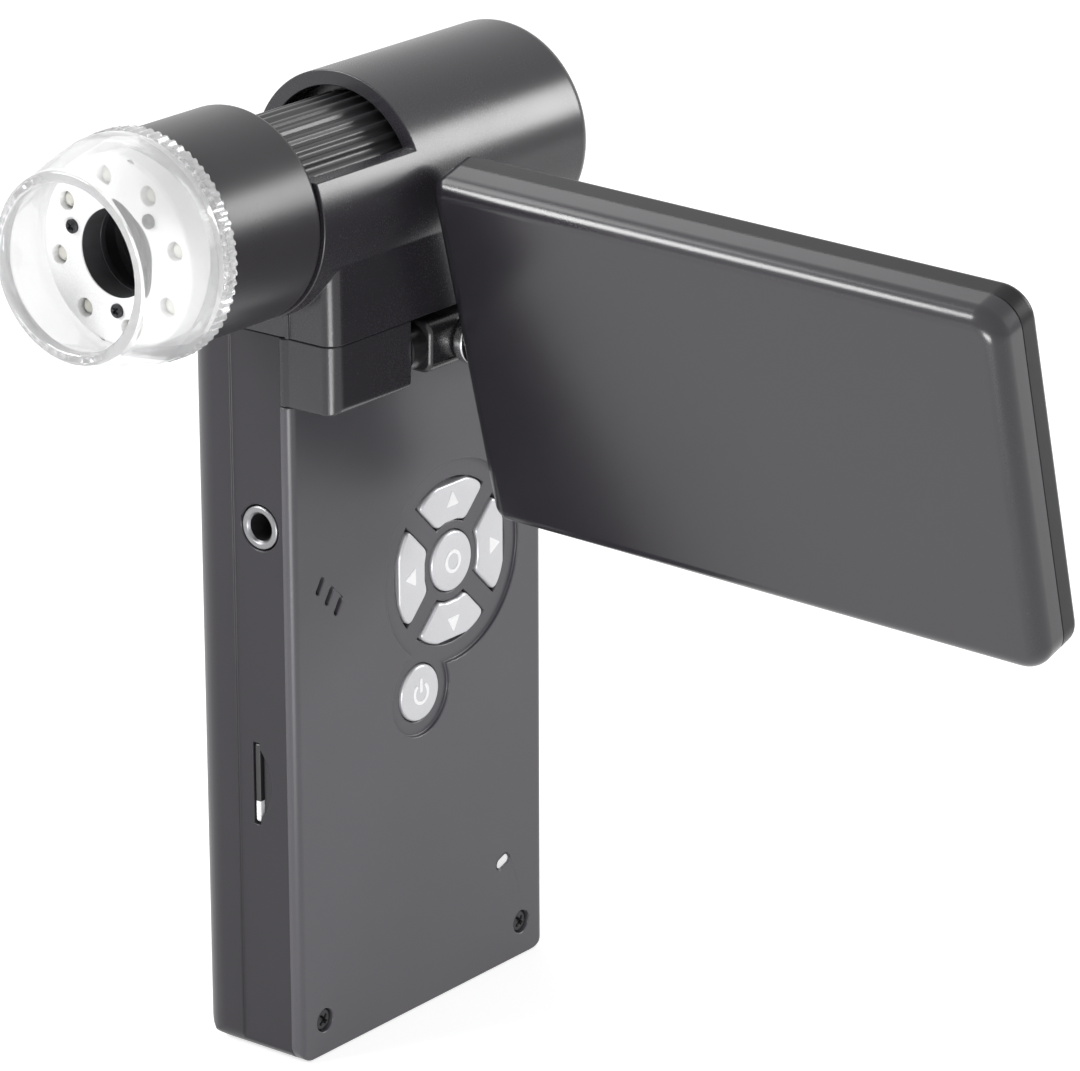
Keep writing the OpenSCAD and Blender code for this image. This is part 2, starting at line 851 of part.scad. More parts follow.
module battery_door() {
  inside = back_y - door_t;
  color("#4a484b")
    difference() {
      union() {
        battery_opening(door_lap - door_gap, inside, back_y);
        difference() {
          block([-bay_half + door_gap, inside - 0.5, bay_low_z + door_gap],
                [bay_half - door_gap, inside + seam, bay_high_z - door_gap]);
          block([-bay_half + door_gap + door_lip, inside - through, bay_low_z + door_gap + door_lip],
                [bay_half - door_gap - door_lip, inside + seam, bay_high_z - door_gap - door_lip]);
        }
      }
      // Thumb rest at the upper end
      along_y(back_y - thumb_rest_depth, back_y + through)
        translate([0, bay_high_z - thumb_rest_drop - thumb_rest.y / 2])
          rounded_rect(-thumb_rest / 2, thumb_rest / 2, [1, 1, 1, 1] * thumb_rest.y / 2);
    }
}

// One key: the face that shows, the flange behind the plate and the stem. at is the stem's place.
module key_body(at) {
  along_y(front_y, key_flange_y + seam)
    children(0);
  along_y(key_flange_y, key_flange_y + key_flange_t)
    children(1);
  translate([at.x, 0, at.y])
    rod_y(key_flange_y, key_stem_y, key_stem_r);
}

module pad_key(turn, at) {
  color("#b9b8bc")
    key_body(at) {
      pad_key_outline(0, turn);
      pad_key_outline(key_flange, turn);
    }
}

module key_up() {
  pad_key(0, switch_places[0]);
}

module key_down() {
  pad_key(180, switch_places[1]);
}

module key_left() {
  pad_key(90, switch_places[2]);
}

module key_right() {
  pad_key(270, switch_places[3]);
}

module key_ok() {
  color("#b9b8bc")
    key_body(switch_places[4]) {
      ok_outline(0);
      ok_outline(key_flange);
    }
}

module key_power() {
  color("#b9b8bc")
    key_body(switch_places[5]) {
      power_outline(0);
      power_outline(key_flange);
    }
}

module charge_light() {
  color("#e8e8ea") {
    along_y(front_y + 0.1, plate_y + seam)
      light_outline(0);
    along_y(plate_y, board_y)
      light_outline(0.4);
  }
}

module av_jack() {
  color("#8d8f92")
    difference() {
      union() {
        block([-inner_half, jack_y - jack_half, jack_z - jack_half],
              [-half_w + jack_recess + jack_depth + 1.2, board_y, jack_z + jack_half]);
        translate([0, jack_y, jack_z])
          rod_x(-half_w + jack_recess, -inner_half + seam, jack_ring_r);
      }
      translate([0, jack_y, jack_z])
        rod_x(-half_w - through, -half_w + jack_recess + jack_depth, jack_bore_r);
    }
}

module card_socket() {
  color("#b7b9bb")
    difference() {
      block([-inner_half, card_y - card_gap - socket_skin, card_z - card_w / 2 - card_gap - socket_skin],
            [-half_w + card_out + card_len + 1, board_y, card_z + card_w / 2 + card_gap + socket_skin]);
      block([-half_w - through, card_y - card_gap, card_z - card_w / 2 - card_gap],
            [-half_w + card_out + card_len + card_gap, card_y + card_t + card_gap, card_z + card_w / 2 + card_gap]);
    }
}

module memory_card() {
  color("#19191b")
    along_y(card_y, card_y + card_t)
      rounded_rect([-half_w + card_out, card_z - card_w / 2], [-half_w + card_out + card_len, card_z + card_w / 2],
                   [0.6, 0.6, 0.6, 0.6]);
}

module usb_socket() {
  low_y = board_y - usb_h;
  color("#b7b9bb")
    difference() {
      block([half_w - 0.3 - usb_len, low_y, usb_z - usb_w / 2], [half_w - 0.3, board_y, usb_z + usb_w / 2]);
      block([half_w - usb_len + 1.4, low_y + usb_skin, usb_z - usb_w / 2 + usb_skin],
            [half_w + through, board_y - usb_skin, usb_z + usb_w / 2 - usb_skin]);
    }
}

module cover_screws() {
  color("#222224")
    cover_screw_places()
      screw_y(plate_y - screw_head_t + 0.4 - screw_head_t, plate_y + cover_thread, cover_screw_r);
}

module board_screws() {
  color("#9a9a9c") {
    board_screw_places()
      screw_y(board_y - screw_head_t, board_back_y + board_thread, thread_r + 0.7);
    key_post_places()
      mirror([0, 1, 0])
        screw_y(-key_board_y - key_board_t - screw_head_t, -plate_y - 0.5, thread_r + 0.7);
  }
}

module hinge_screws() {
  color("#9a9a9c")
    hinge_screw_places() {
      rod_y(plate_y - hinge_thread, plate_y, thread_r);
      rod_y(plate_y, plate_y + screw_head_t, thread_r + 0.7);
    }
}

module barrel_screws() {
  color("#9a9a9c") {
    barrel_screw_places() {
      translate([0, 0, roof_z - screw_head_t])
        cylinder(h = screw_head_t, r = thread_r + 0.7);
      translate([0, 0, roof_z])
        cylinder(h = wall + 2.4, r = thread_r);
    }
    spigot_screw_places()
      rotate([-90, 0, 0]) {
        translate([0, 0, barrel_bore_r - spigot_t])
          cylinder(h = spigot_t + 0.9, r = thread_r);
        translate([0, 0, barrel_bore_r + 0.9])
          cylinder(h = barrel_wall - 1.1, r = thread_r + 0.6);
      }
  }
}

// ---- Barrel ------------------------------------------------------------------------------

// A profile of radius and X, spun about the barrel's axis.
module spin_x() {
  translate([0, barrel_y, barrel_z])
    rotate([0, 90, 0])
      rotate_extrude()
        children();
}

module tube_x(x0, x1, r_in, r_out) {
  spin_x()
    translate([r_in, x0])
      square([r_out - r_in, x1 - x0]);
}

// A point on a circle about the barrel's axis. Angle 0 is the keypad side and 90 is the top.
module on_ring(r, angle) {
  translate([0, barrel_y - r * cos(angle), barrel_z + r * sin(angle)])
    children();
}

// The two screws at the back that hold the front tube's spigot, pointing out along +Y.
module spigot_screw_places() {
  for (turn = [-8, -48])
    translate([housing_x + spigot_len / 2, barrel_y, barrel_z])
      rotate([turn, 0, 0])
        children();
}

// The saddle: the handle's outline and the hinge block's, drawn up into the barrel.
module saddle_form(inset, z0, z1) {
  corner = back_r - inset;
  along_z(z0, z1) {
    rounded_rect([-half_w + inset, front_y + inset], [half_w - inset, back_y - inset],
                 [0, 0, corner, corner]);
    lump_outline(inset);
  }
}

module barrel_housing() {
  color("#454347")
    difference() {
      union() {
        difference() {
          saddle_form(0, handle_h, barrel_z);
          saddle_form(wall, handle_h - through, barrel_z + through);
          side_strips(handle_h - through, barrel_z + through);
        }
        spin_x()
          rounded_rect([0, housing_x], [barrel_r, half_w], [0, 0, barrel_edge_r, 0]);
        barrel_screw_places()
          translate([0, 0, handle_h])
            cylinder(h = barrel_rise / 2, r = barrel_post_r);
      }
      // Bore in front of the rear bearing, room for the image sensor behind it
      tube_x(housing_x - through, rear_web_x, 0, barrel_bore_r);
      tube_x(rear_web_x - seam, rear_web_x + bearing_t + seam, 0, bearing_r);
      difference() {
        tube_x(rear_web_x + bearing_t, half_w + through, 0, barrel_bore_r);
        for (angle = [0, 180])
          on_ring(sensor_post_ring_r, angle)
            rod_x(rear_web_x, sensor_board_x, sensor_post_r);
        tube_x(half_w - cap_disc_inset - cap_disc_t - 1.5, half_w - cap_disc_inset - cap_disc_t,
               barrel_bore_r - 0.8, barrel_r - 0.5);
      }
      block([housing_x - through, barrel_y - barrel_r - through, barrel_z + window_rise],
            [window_end_x, barrel_y + barrel_r + through, barrel_z + barrel_r + through]);
      barrel_screw_places()
        translate([0, 0, handle_h - seam])
          cylinder(h = 2.6, r = thread_r + fit_gap);
      // Way for the sensor's wires down into the handle
      block([8, -2, handle_h - through], [15, 3, barrel_z - barrel_bore_r + 2]);
      spigot_screw_places()
        rotate([-90, 0, 0]) {
          translate([0, 0, barrel_bore_r - through])
            cylinder(h = barrel_wall + 2 * through, r = thread_r + 0.1);
          translate([0, 0, barrel_bore_r + 0.9])
            cylinder(h = barrel_wall, r = thread_r + 0.7);
        }
      // Threads for the sensor board's screws
      for (angle = [0, 180])
        on_ring(sensor_post_ring_r, angle)
          rod_x(sensor_board_x - 4, sensor_board_x + through, 0.6);
    }
}

module front_tube() {
  color("#454347")
    difference() {
      union() {
        spin_x()
          rounded_rect([0, front_x], [front_r, housing_x], [0, 0.3, front_lip_r, 0]);
        tube_x(snout_x, front_x + seam, 0, snout_core_r);
        // Half ring that seats in the housing, below the window
        intersection() {
          tube_x(housing_x - seam, housing_x + spigot_len, barrel_bore_r - spigot_t, barrel_bore_r - fit_gap);
          block([housing_x - 1, barrel_y - barrel_r, barrel_z - barrel_r],
                [housing_x + spigot_len, barrel_y + barrel_r, barrel_z + window_rise - 0.2]);
        }
      }
      // Pocket behind the front bearing, room in front of it and the guide sleeve's bore
      tube_x(front_web_x + bearing_t, housing_x + seam, 0, barrel_bore_r - spigot_t);
      tube_x(front_web_x - seam, front_web_x + bearing_t + seam, 0, bearing_r);
      tube_x(front_x + 1, front_web_x, sleeve_r, barrel_bore_r);
      tube_x(nose_x, front_web_x + seam, 0, slide_r);
      tube_x(snout_x - through, nose_x + seam, 0, bore_r);
      tube_x(snout_x - through, collar_end_x + seam, 0, collar_seat_r);
      // The sleeve ends short of the wheel's journal
      tube_x(front_web_x - 1.5, front_web_x + seam, 0, sleeve_r + seam);
      // Slot for the carriage's key, at the bottom
      block([nose_x + 1.2, barrel_y - key_rib_w / 2 - key_slot_gap, barrel_z - sleeve_r - through],
            [front_web_x - 1.4, barrel_y + key_rib_w / 2 + key_slot_gap, barrel_z]);
      for (angle = reflector_screw_angles)
        on_ring(reflector_screw_ring_r, angle)
          rod_x(snout_x - through, snout_x + nose_t - 0.1, reflector_thread_r + fit_gap);
      spigot_screw_places()
        rotate([-90, 0, 0])
          translate([0, 0, barrel_bore_r - spigot_t - through])
            cylinder(h = spigot_t + 2 * through, r = thread_r + fit_gap);
    }
}

module rear_cap() {
  color("#454347")
    difference() {
      tube_x(half_w - cap_disc_inset - cap_disc_t, half_w - cap_disc_inset, 0, barrel_bore_r - cap_disc_gap);
      tube_x(half_w - cap_disc_inset - 0.4, half_w, 0, barrel_bore_r - 2);
    }
}

// Outline of a wheel with square grooves: four points to each rib.
function rib_outline(r, depth, count) =
  [for (i = [0 : count - 1])
    for (step = [[-0.28, depth], [-0.18, 0], [0.18, 0], [0.28, depth]])
      (r - step[1]) * [cos((i + step[0]) * 360 / count), sin((i + step[0]) * 360 / count)]];

module focus_wheel() {
  color("#29292b")
    difference() {
      union() {
        translate([wheel_front_x, barrel_y, barrel_z])
          rotate([0, 90, 0])
            linear_extrude(wheel_rear_x - wheel_front_x)
              polygon(rib_outline(wheel_r, rib_depth, wheel_ribs));
        tube_x(journal_front_x, journal_rear_x, 0, journal_r);
      }
      tube_x(journal_front_x - through, journal_rear_x + through, 0, slide_r);
    }
}

module lens_carriage() {
  color("#161618")
    difference() {
      union() {
        tube_x(carriage_front_x, carriage_rear_x, 0, carriage_r);
        block([front_web_x - 1.4 - lens_travel - 0.3 - key_rib_len, barrel_y - key_rib_w / 2,
               barrel_z - carriage_r - key_rib_h],
              [front_web_x - 1.4 - lens_travel - 0.3, barrel_y + key_rib_w / 2, barrel_z - carriage_r + 0.5]);
      }
      tube_x(carriage_front_x - through, carriage_rear_x + through, 0, lens_tube_r);
      tube_x(carriage_front_x - through, carriage_front_x + retainer_t + objective_t, 0, lens_seat_r);
      tube_x(carriage_rear_x - rear_lens_t - 0.5, carriage_rear_x + through, 0, lens_seat_r);
    }
}

module objective_lens() {
  color("#9fb6c8")
    tube_x(carriage_front_x + retainer_t, carriage_front_x + retainer_t + objective_t, 0, lens_seat_r - fit_gap);
}

module lens_retainer() {
  color("#161618")
    tube_x(carriage_front_x, carriage_front_x + retainer_t, lens_tube_r - 0.3, lens_seat_r - fit_gap);
}

module rear_lens() {
  color("#9fb6c8")
    tube_x(carriage_rear_x - rear_lens_t - 0.5, carriage_rear_x - 0.5, 0, lens_seat_r - fit_gap);
}

module sensor_board() {
  color("#1f5c3a")
    difference() {
      tube_x(sensor_board_x, sensor_board_x + sensor_board_t, 0, sensor_board_r);
      for (angle = [0, 180])
        on_ring(sensor_post_ring_r, angle)
          rod_x(sensor_board_x - through, sensor_board_x + sensor_board_t + through, 0.7);
    }
}

module image_sensor() {
  color("#2c2f3a")
    block([sensor_board_x - sensor_t, barrel_y - sensor_w / 2, barrel_z - sensor_w / 2],
          [sensor_board_x, barrel_y + sensor_w / 2, barrel_z + sensor_w / 2]);
}

module led_board() {
  color("#e6e6e4")
    difference() {
      tube_x(led_board_x, snout_x, collar_seat_r, snout_core_r);
      for (angle = reflector_screw_angles)
        on_ring(reflector_screw_ring_r, angle)
          rod_x(led_board_x - through, snout_x + through, reflector_thread_r + 0.1);
    }
}

module lamp_places() {
  for (i = [0 : lamp_count - 1])
    on_ring(lamp_ring_r, 11 + i * 360 / lamp_count)
      children();
}

module leds() {
  color("#f4f1dc")
    lamp_places()
      rod_x(led_board_x - lamp_t, led_board_x, lamp_r);
}

module led_reflector() {
  color("#f2f2f0")
    difference() {
      union() {
        spin_x()
          rounded_rect([bore_r, reflector_x], [snout_r, led_board_x], [0, reflector_edge_r, 0, 0]);
        tube_x(led_board_x - seam, collar_end_x, bore_r, bore_r + collar_t);
        tube_x(led_board_x - seam, front_x - seam, snout_core_r + seam, snout_r);
      }
      lamp_places()
        rod_x(reflector_x - through, led_board_x + through, lamp_r + lamp_gap);
      for (angle = reflector_screw_angles)
        on_ring(reflector_screw_ring_r, angle)
          rod_x(reflector_x - through, led_board_x + through, reflector_thread_r + 0.1);
    }
}

module reflector_screws() {
  color("#222224")
    for (angle = reflector_screw_angles)
      on_ring(reflector_screw_ring_r, angle) {
        rod_x(reflector_x - 0.5, reflector_x, reflector_screw_r);
        rod_x(reflector_x, snout_x + nose_t - 0.3, reflector_thread_r);
      }
}

// Half section of the clear cap in front of its knurled ring, as radius and X. It narrows along
// an arc from the body to the rim.
function cap_radius(t) = cap_body_r + (cap_rim_r - cap_body_r) * (0.8 * t + 0.2 * t * t);

module cap_section(inset, x_tip) {
  start_x = cap_shoulder_x - cap_straight;
  end_x = cap_tip_x + cap_rim_len;
  steps = 6;
  polygon(concat(
    [[0, cap_shoulder_x + seam], [cap_body_r - inset, cap_shoulder_x + seam]],
    [for (i = [0 : steps]) [cap_radius(i / steps) - inset, start_x + (end_x - start_x) * i / steps]],
    [[cap_rim_r - inset, x_tip], [0, x_tip]]));
}

module clear_cap() {
  color([0.85, 0.88, 0.9, 0.4])
    difference() {
      union() {
        translate([cap_shoulder_x, barrel_y, barrel_z])
          rotate([0, 90, 0])
            linear_extrude(cap_ring_len)
              polygon(rib_outline(cap_ring_r, tooth_depth, cap_teeth));
        spin_x()
          cap_section(0, cap_tip_x);
      }
      tube_x(cap_shoulder_x - seam, cap_back_x + through, 0, cap_bore_r);
      spin_x()
        cap_section(cap_wall, cap_tip_x - through);
    }
}

// ---- Hinge -------------------------------------------------------------------------------

// The fold axis, with the droop of the open screen.
module in_fold() {
  translate([0, fold_y, fold_z])
    rotate([screen_droop, 0, 0])
      children();
}

// The screen's own frame, turned about its long axis as well.
module in_screen() {
  in_fold()
    rotate([0, -screen_tilt, 0])
      children();
}

module hinge_knuckle() {
  r = knuckle_r;
  color("#2f2e31")
    in_fold()
      difference() {
        along_x(-knuckle_w / 2, knuckle_w / 2)
          rounded_rect([-knuckle_half, -knuckle_half], [knuckle_half, knuckle_half], [r, r, r, r]);
        rod_y(-knuckle_half - through, knuckle_half + through, swivel_bore_r);
        rod_y(knuckle_half - clip_pocket, knuckle_half + through, clip_pocket_r);
        both_sides()
          rod_x(pin_hole_depth, knuckle_w / 2 + through, knuckle_bore_r);
      }
}

module fold_pins() {
  color("#b4b6b8")
    both_sides()
      translate([0, fold_y, fold_z])
        rod_x(pin_depth, fold_pin_end, fold_pin_r);
}

module friction_washers() {
  color("#a2a4a6")
    both_sides()
      translate([0, fold_y, fold_z])
        difference() {
          rod_x(knuckle_w / 2 + washer_gap, notch_w / 2, washer_r);
          rod_x(knuckle_w / 2 - through, notch_w / 2 + through, fold_pin_r + 0.01);
        }
}

module swivel_shaft() {
  color("#8d8f92")
    in_screen()
      difference() {
        union() {
          rod_y(near_y - screen_wall - shaft_plate_t - 0.1, knuckle_half - 0.1, swivel_r);
          rod_y(near_y, -knuckle_half - collar_gap, swivel_collar_r);
        }
        rod_y(near_y - screen_wall - shaft_plate_t - through, knuckle_half + through, swivel_hollow_r);
      }
}

module swivel_clip() {
  color("#b4b6b8")
    in_screen()
      difference() {
        rod_y(knuckle_half - clip_pocket + 0.1, knuckle_half - clip_pocket + 0.1 + clip_t, clip_r);
        rod_y(knuckle_half - clip_pocket, knuckle_half + through, swivel_r + fit_gap);
      }
}

module shaft_plate() {
  low_y = near_y - screen_wall - shaft_plate_t;
  color("#a2a4a6")
    in_screen()
      difference() {
        intersection() {
          block([-face_x + 0.1, low_y, -shaft_plate_half],
                [face_x - 0.1, low_y + shaft_plate_t, shaft_plate_half]);
          panel_form(screen_wall);
        }
        rod_y(low_y - through, low_y + shaft_plate_t + through, swivel_r + fit_gap);
      }
}

// ---- Screen ------------------------------------------------------------------------------

// The screen housing's outer form, or its inside when inset is a wall.
module panel_form(inset) {
  x1 = screen_half_t - inset;
  y0 = far_y + inset;
  y1 = near_y - inset;
  z1 = screen_half_w - inset;
  back = max(screen_back_r - inset, 0.3);
  face = max(screen_front_r - inset, 0.3);
  far = far_r - inset;
  near = near_r - inset;
  intersection() {
    along_x(-x1, x1)
      rounded_rect([y0, -z1], [y1, z1], [far, near, near, far]);
    along_y(y0, y1)
      rounded_rect([-x1, -z1], [x1, z1], [back, face, face, back]);
    along_z(-z1, z1)
      rounded_rect([-x1, y0], [x1, y1], [back, face, face, back]);
  }
}

module screen_half(x0, x1) {
  block([x0, far_y - through, -screen_half_w - through], [x1, near_y + through, screen_half_w + through]);
}

module screen_posts(x0, x1, r) {
  for (place = screen_places)
    translate([0, place.x, place.y])
      rod_x(x0, x1, r);
}

module screen_back() {
  color("#55525a")
    in_screen()
      difference() {
        union() {
          difference() {
            intersection() {
              panel_form(0);
              screen_half(-screen_half_t - through, split_x);
            }
            panel_form(screen_wall);
          }
          screen_posts(-screen_half_t + screen_wall / 2, split_x, screen_post_r);
        }
        screen_posts(-screen_half_t + screen_wall, split_x + through, thread_r + fit_gap);
        rod_y(near_y - screen_wall - through, near_y + through, swivel_r + 0.1);
      }
}

module picture_opening(grow, x0, x1) {
  half = picture_w / 2 + grow;
  run = picture_len / 2 + grow;
  along_x(x0, x1)
    rounded_rect([picture_y - run, -half], [picture_y + run, half], [0.5, 0.5, 0.5, 0.5]);
}

module screen_bezel() {
  color("#3a393c")
    in_screen()
      difference() {
        union() {
          difference() {
            intersection() {
              panel_form(0);
              screen_half(split_x, screen_half_t + through);
            }
            panel_form(screen_wall);
          }
          screen_posts(split_x, face_x + seam, screen_post_r);
        }
        picture_opening(0, split_x, screen_half_t + through);
        picture_opening(glass_lap, screen_half_t - glass_t - glass_inset, screen_half_t + through);
        screen_posts(split_x - through, screen_half_t + through, thread_r + 0.15);
        screen_posts(screen_half_t - screen_head_t, screen_half_t + through, screen_screw_r + 0.1);
        rod_y(near_y - screen_wall - through, near_y + through, swivel_r + 0.1);
      }
}

module screen_window() {
  color("#1b1c20")
    in_screen()
      picture_opening(glass_lap - 0.05, screen_half_t - glass_t - glass_inset, screen_half_t - glass_inset);
}

module lcd_panel() {
  color("#2a2d33")
    in_screen()
      block([lcd_x, picture_y - picture_len / 2 - lcd_lap, -lcd_w / 2],
            [face_x, picture_y + picture_len / 2 + lcd_lap, lcd_w / 2]);
}

module backlight() {
  color("#e9e9e6")
    in_screen()
      block([backlight_x, picture_y - picture_len / 2 - lcd_lap, -lcd_w / 2],
            [lcd_x, picture_y + picture_len / 2 + lcd_lap, lcd_w / 2]);
}

module screen_board() {
  color("#1f5c3a")
    in_screen()
      block([screen_board_x, picture_y - picture_len / 2 + board_inset, -lcd_w / 2 + board_inset],
            [screen_board_x + screen_board_t, picture_y + picture_len / 2 - board_inset, lcd_w / 2 - board_inset]);
}

module screen_screws() {
  color("#222224")
    in_screen() {
      screen_posts(screen_half_t - screen_head_t, screen_half_t - 0.1, screen_screw_r);
      screen_posts(-screen_half_t + screen_wall + 0.4, screen_half_t - screen_head_t, thread_r);
    }
}

// ---- One line for each piece -------------------------------------------------------------

rear_shell();
front_cover();
hinge_block();
main_board();
key_board();
key_switches();
speaker();
battery();
battery_contacts();
battery_door();
key_up();
key_down();
key_left();
key_right();
key_ok();
key_power();
charge_light();
av_jack();
card_socket();
memory_card();
usb_socket();
cover_screws();
board_screws();
hinge_screws();
barrel_screws();
barrel_housing();
front_tube();
rear_cap();
focus_wheel();
lens_carriage();
objective_lens();
lens_retainer();
rear_lens();
sensor_board();
image_sensor();
led_board();
leds();
led_reflector();
reflector_screws();
clear_cap();
hinge_knuckle();
fold_pins();
friction_washers();
swivel_shaft();
swivel_clip();
shaft_plate();
screen_back();
screen_bezel();
screen_window();
lcd_panel();
backlight();
screen_board();
screen_screws();
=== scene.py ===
"""LCD digital microscope: the finish and the fine shape of every piece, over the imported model."""
from math import cos, pi, radians, sin

import bmesh
import bpy
import numpy as np
from mathutils import Matrix, Vector


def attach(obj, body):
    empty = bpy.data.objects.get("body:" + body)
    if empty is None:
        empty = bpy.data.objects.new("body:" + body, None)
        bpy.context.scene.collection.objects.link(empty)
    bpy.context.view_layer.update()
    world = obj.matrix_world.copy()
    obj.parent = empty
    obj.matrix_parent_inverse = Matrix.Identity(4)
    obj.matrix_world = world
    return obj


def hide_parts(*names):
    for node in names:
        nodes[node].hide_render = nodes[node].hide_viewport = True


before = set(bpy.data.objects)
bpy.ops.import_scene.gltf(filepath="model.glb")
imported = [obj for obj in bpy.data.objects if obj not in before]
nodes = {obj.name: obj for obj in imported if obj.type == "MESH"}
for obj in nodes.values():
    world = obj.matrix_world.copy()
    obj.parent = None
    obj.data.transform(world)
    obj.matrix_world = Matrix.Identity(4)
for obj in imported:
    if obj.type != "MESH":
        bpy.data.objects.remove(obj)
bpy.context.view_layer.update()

# ---- Studio ----
# A white table and backdrop with soft lamps round the object. The camera stands at the front left,
# a little above the object, with a long lens.
camera_place = Vector((-0.5394, -0.45186, 0.31024))
camera_aim = Vector((0.0175, -0.0149, 0.06239))
camera_roll = -0.003
camera_lens = 190.42
room_light = 0.40
floor_glow = 0.66
floor_drop = 0.0002
floor_half = 4
lamp_aim = Vector((0, -0.03, 0.08))
block_aim = Vector((-0.022, -0.022, 0.09))


def link(obj):
    """Puts a new object into the scene and gives it back."""
    bpy.context.scene.collection.objects.link(obj)
    return obj


def add(tree, kind, sockets=None, **settings):
    """A shader node with its settings. A socket's entry is a plain value, or an output to link."""
    item = tree.nodes.new("ShaderNode" + kind)
    for setting, value in settings.items():
        setattr(item, setting, value)
    for label, value in (sockets or {}).items():
        if isinstance(value, bpy.types.NodeSocket):
            tree.links.new(value, item.inputs[label])
        else:
            item.inputs[label].default_value = value
    return item


def math(tree, operation, a, b, clamp=False):
    """One sum of two numbers or outputs."""
    return add(tree, "Math", {0: a, 1: b}, operation=operation, use_clamp=clamp).outputs[0]


def new_material(name):
    """An empty node material, and its tree."""
    material = bpy.data.materials.new(name)
    material.use_nodes = True
    material.node_tree.nodes.clear()
    return material, material.node_tree


def finished(material, shader):
    """Links a shader to the material's output, and gives the material back."""
    tree = material.node_tree
    output = tree.nodes.new("ShaderNodeOutputMaterial")
    tree.links.new(shader.outputs[0], output.inputs["Surface"])
    return material


def seen_rays(tree):
    """1 for camera, glossy and transmission rays, and 0 for the rest."""
    path = add(tree, "LightPath").outputs
    pair = math(tree, "MAXIMUM", path["Is Camera Ray"], path["Is Glossy Ray"])
    return math(tree, "MAXIMUM", pair, path["Is Transmission Ray"])


def lamp(name, azimuth, elevation, distance, width, height, radiance, aim=lamp_aim):
    """A soft panel on a sphere about its aim: azimuth runs from +X to +Y, and the power that gives
    a radiance is pi times the panel's area times that radiance."""
    data = bpy.data.lights.new(name, "AREA")
    data.shape = "RECTANGLE"
    data.size = width
    data.size_y = height
    data.energy = pi * width * height * radiance
    a = radians(azimuth)
    e = radians(elevation)
    panel = link(bpy.data.objects.new(name, data))
    panel.location = aim + distance * Vector((cos(e) * cos(a), cos(e) * sin(a), sin(e)))
    panel.rotation_euler = (aim - panel.location).to_track_quat("-Z", "Y").to_euler()
    panel.visible_camera = False


camera_data = bpy.data.cameras.new("camera")
camera_data.lens = camera_lens
camera_data.sensor_width = 36
camera_data.clip_start = 0.01
camera_data.clip_end = 50
camera = link(bpy.data.objects.new("camera", camera_data))
facing = (camera_aim - camera_place).to_track_quat("-Z", "Y").to_matrix().to_4x4()
camera.matrix_world = Matrix.Translation(camera_place) @ facing @ Matrix.Rotation(camera_roll, 4, "Z")
bpy.context.scene.camera = camera
bpy.context.scene.view_settings.view_transform = "Standard"

floor_paint, floor_tree = new_material("table_paint")
floor_seen = math(floor_tree, "MULTIPLY", seen_rays(floor_tree), floor_glow)
floor_matt = add(floor_tree, "BsdfDiffuse", {"Color": (0.62, 0.62, 0.62, 1)})
floor_light = add(floor_tree, "Emission", {"Strength": floor_seen})
floor_mix = add(floor_tree, "AddShader", {0: floor_matt.outputs[0], 1: floor_light.outputs[0]})
floor_mesh = bpy.data.meshes.new("table")
floor_corners = [(x * floor_half, y * floor_half, -floor_drop)
                 for x, y in ((-1, -1), (1, -1), (1, 1), (-1, 1))]
floor_mesh.from_pydata(floor_corners, [], [(0, 1, 2, 3)])
floor_mesh.materials.append(finished(floor_paint, floor_mix))
link(bpy.data.objects.new("table", floor_mesh))

world = bpy.data.worlds.new("studio")
world.use_nodes = True
sky = world.node_tree
sky_light = add(sky, "MapRange", {"Value": seen_rays(sky), "To Min": room_light, "To Max": 1.0})
sky.links.new(sky_light.outputs[0], sky.nodes["Background"].inputs["Strength"])
sky.nodes["Background"].inputs["Color"].default_value = (1, 1, 1, 1)
bpy.context.scene.world = world

lamp("screen_edge_lamp", 141, 28, 0.60, 0.26, 0.18, 15.5)
lamp("screen_edge_fill", 110, 46, 0.60, 0.30, 0.24, 4.2)
lamp("back_panel", 58, 44, 0.80, 0.36, 0.36, 1.0)
lamp("right_band", -37, 20, 0.65, 0.20, 0.24, 14.0)
lamp("block_strip", 213, -19, 0.20, 0.09, 0.05, 15.0, block_aim)

# ---- Rear shell ----
# The back, the sides and the foot of the handle in one tray of dark ABS, injection moulded, with
# the posts and the battery bay inside. Its outside has the mould's fine spark-eroded grain.
mm = 0.001
shell_colour = (0.025, 0.023, 0.028)
shell_edge = 0.18
wear_width = 0.0003


def new_group(name, inputs, outputs):
    """An empty node group with named number inputs and outputs."""
    tree = bpy.data.node_groups.new(name, "ShaderNodeTree")
    for label, value in inputs.items():
        socket = tree.interface.new_socket(label, in_out="INPUT", socket_type="NodeSocketFloat")
        socket.default_value = value
    for label in outputs:
        tree.interface.new_socket(label, in_out="OUTPUT", socket_type="NodeSocketFloat")
    return tree, tree.nodes.new("NodeGroupInput"), tree.nodes.new("NodeGroupOutput")


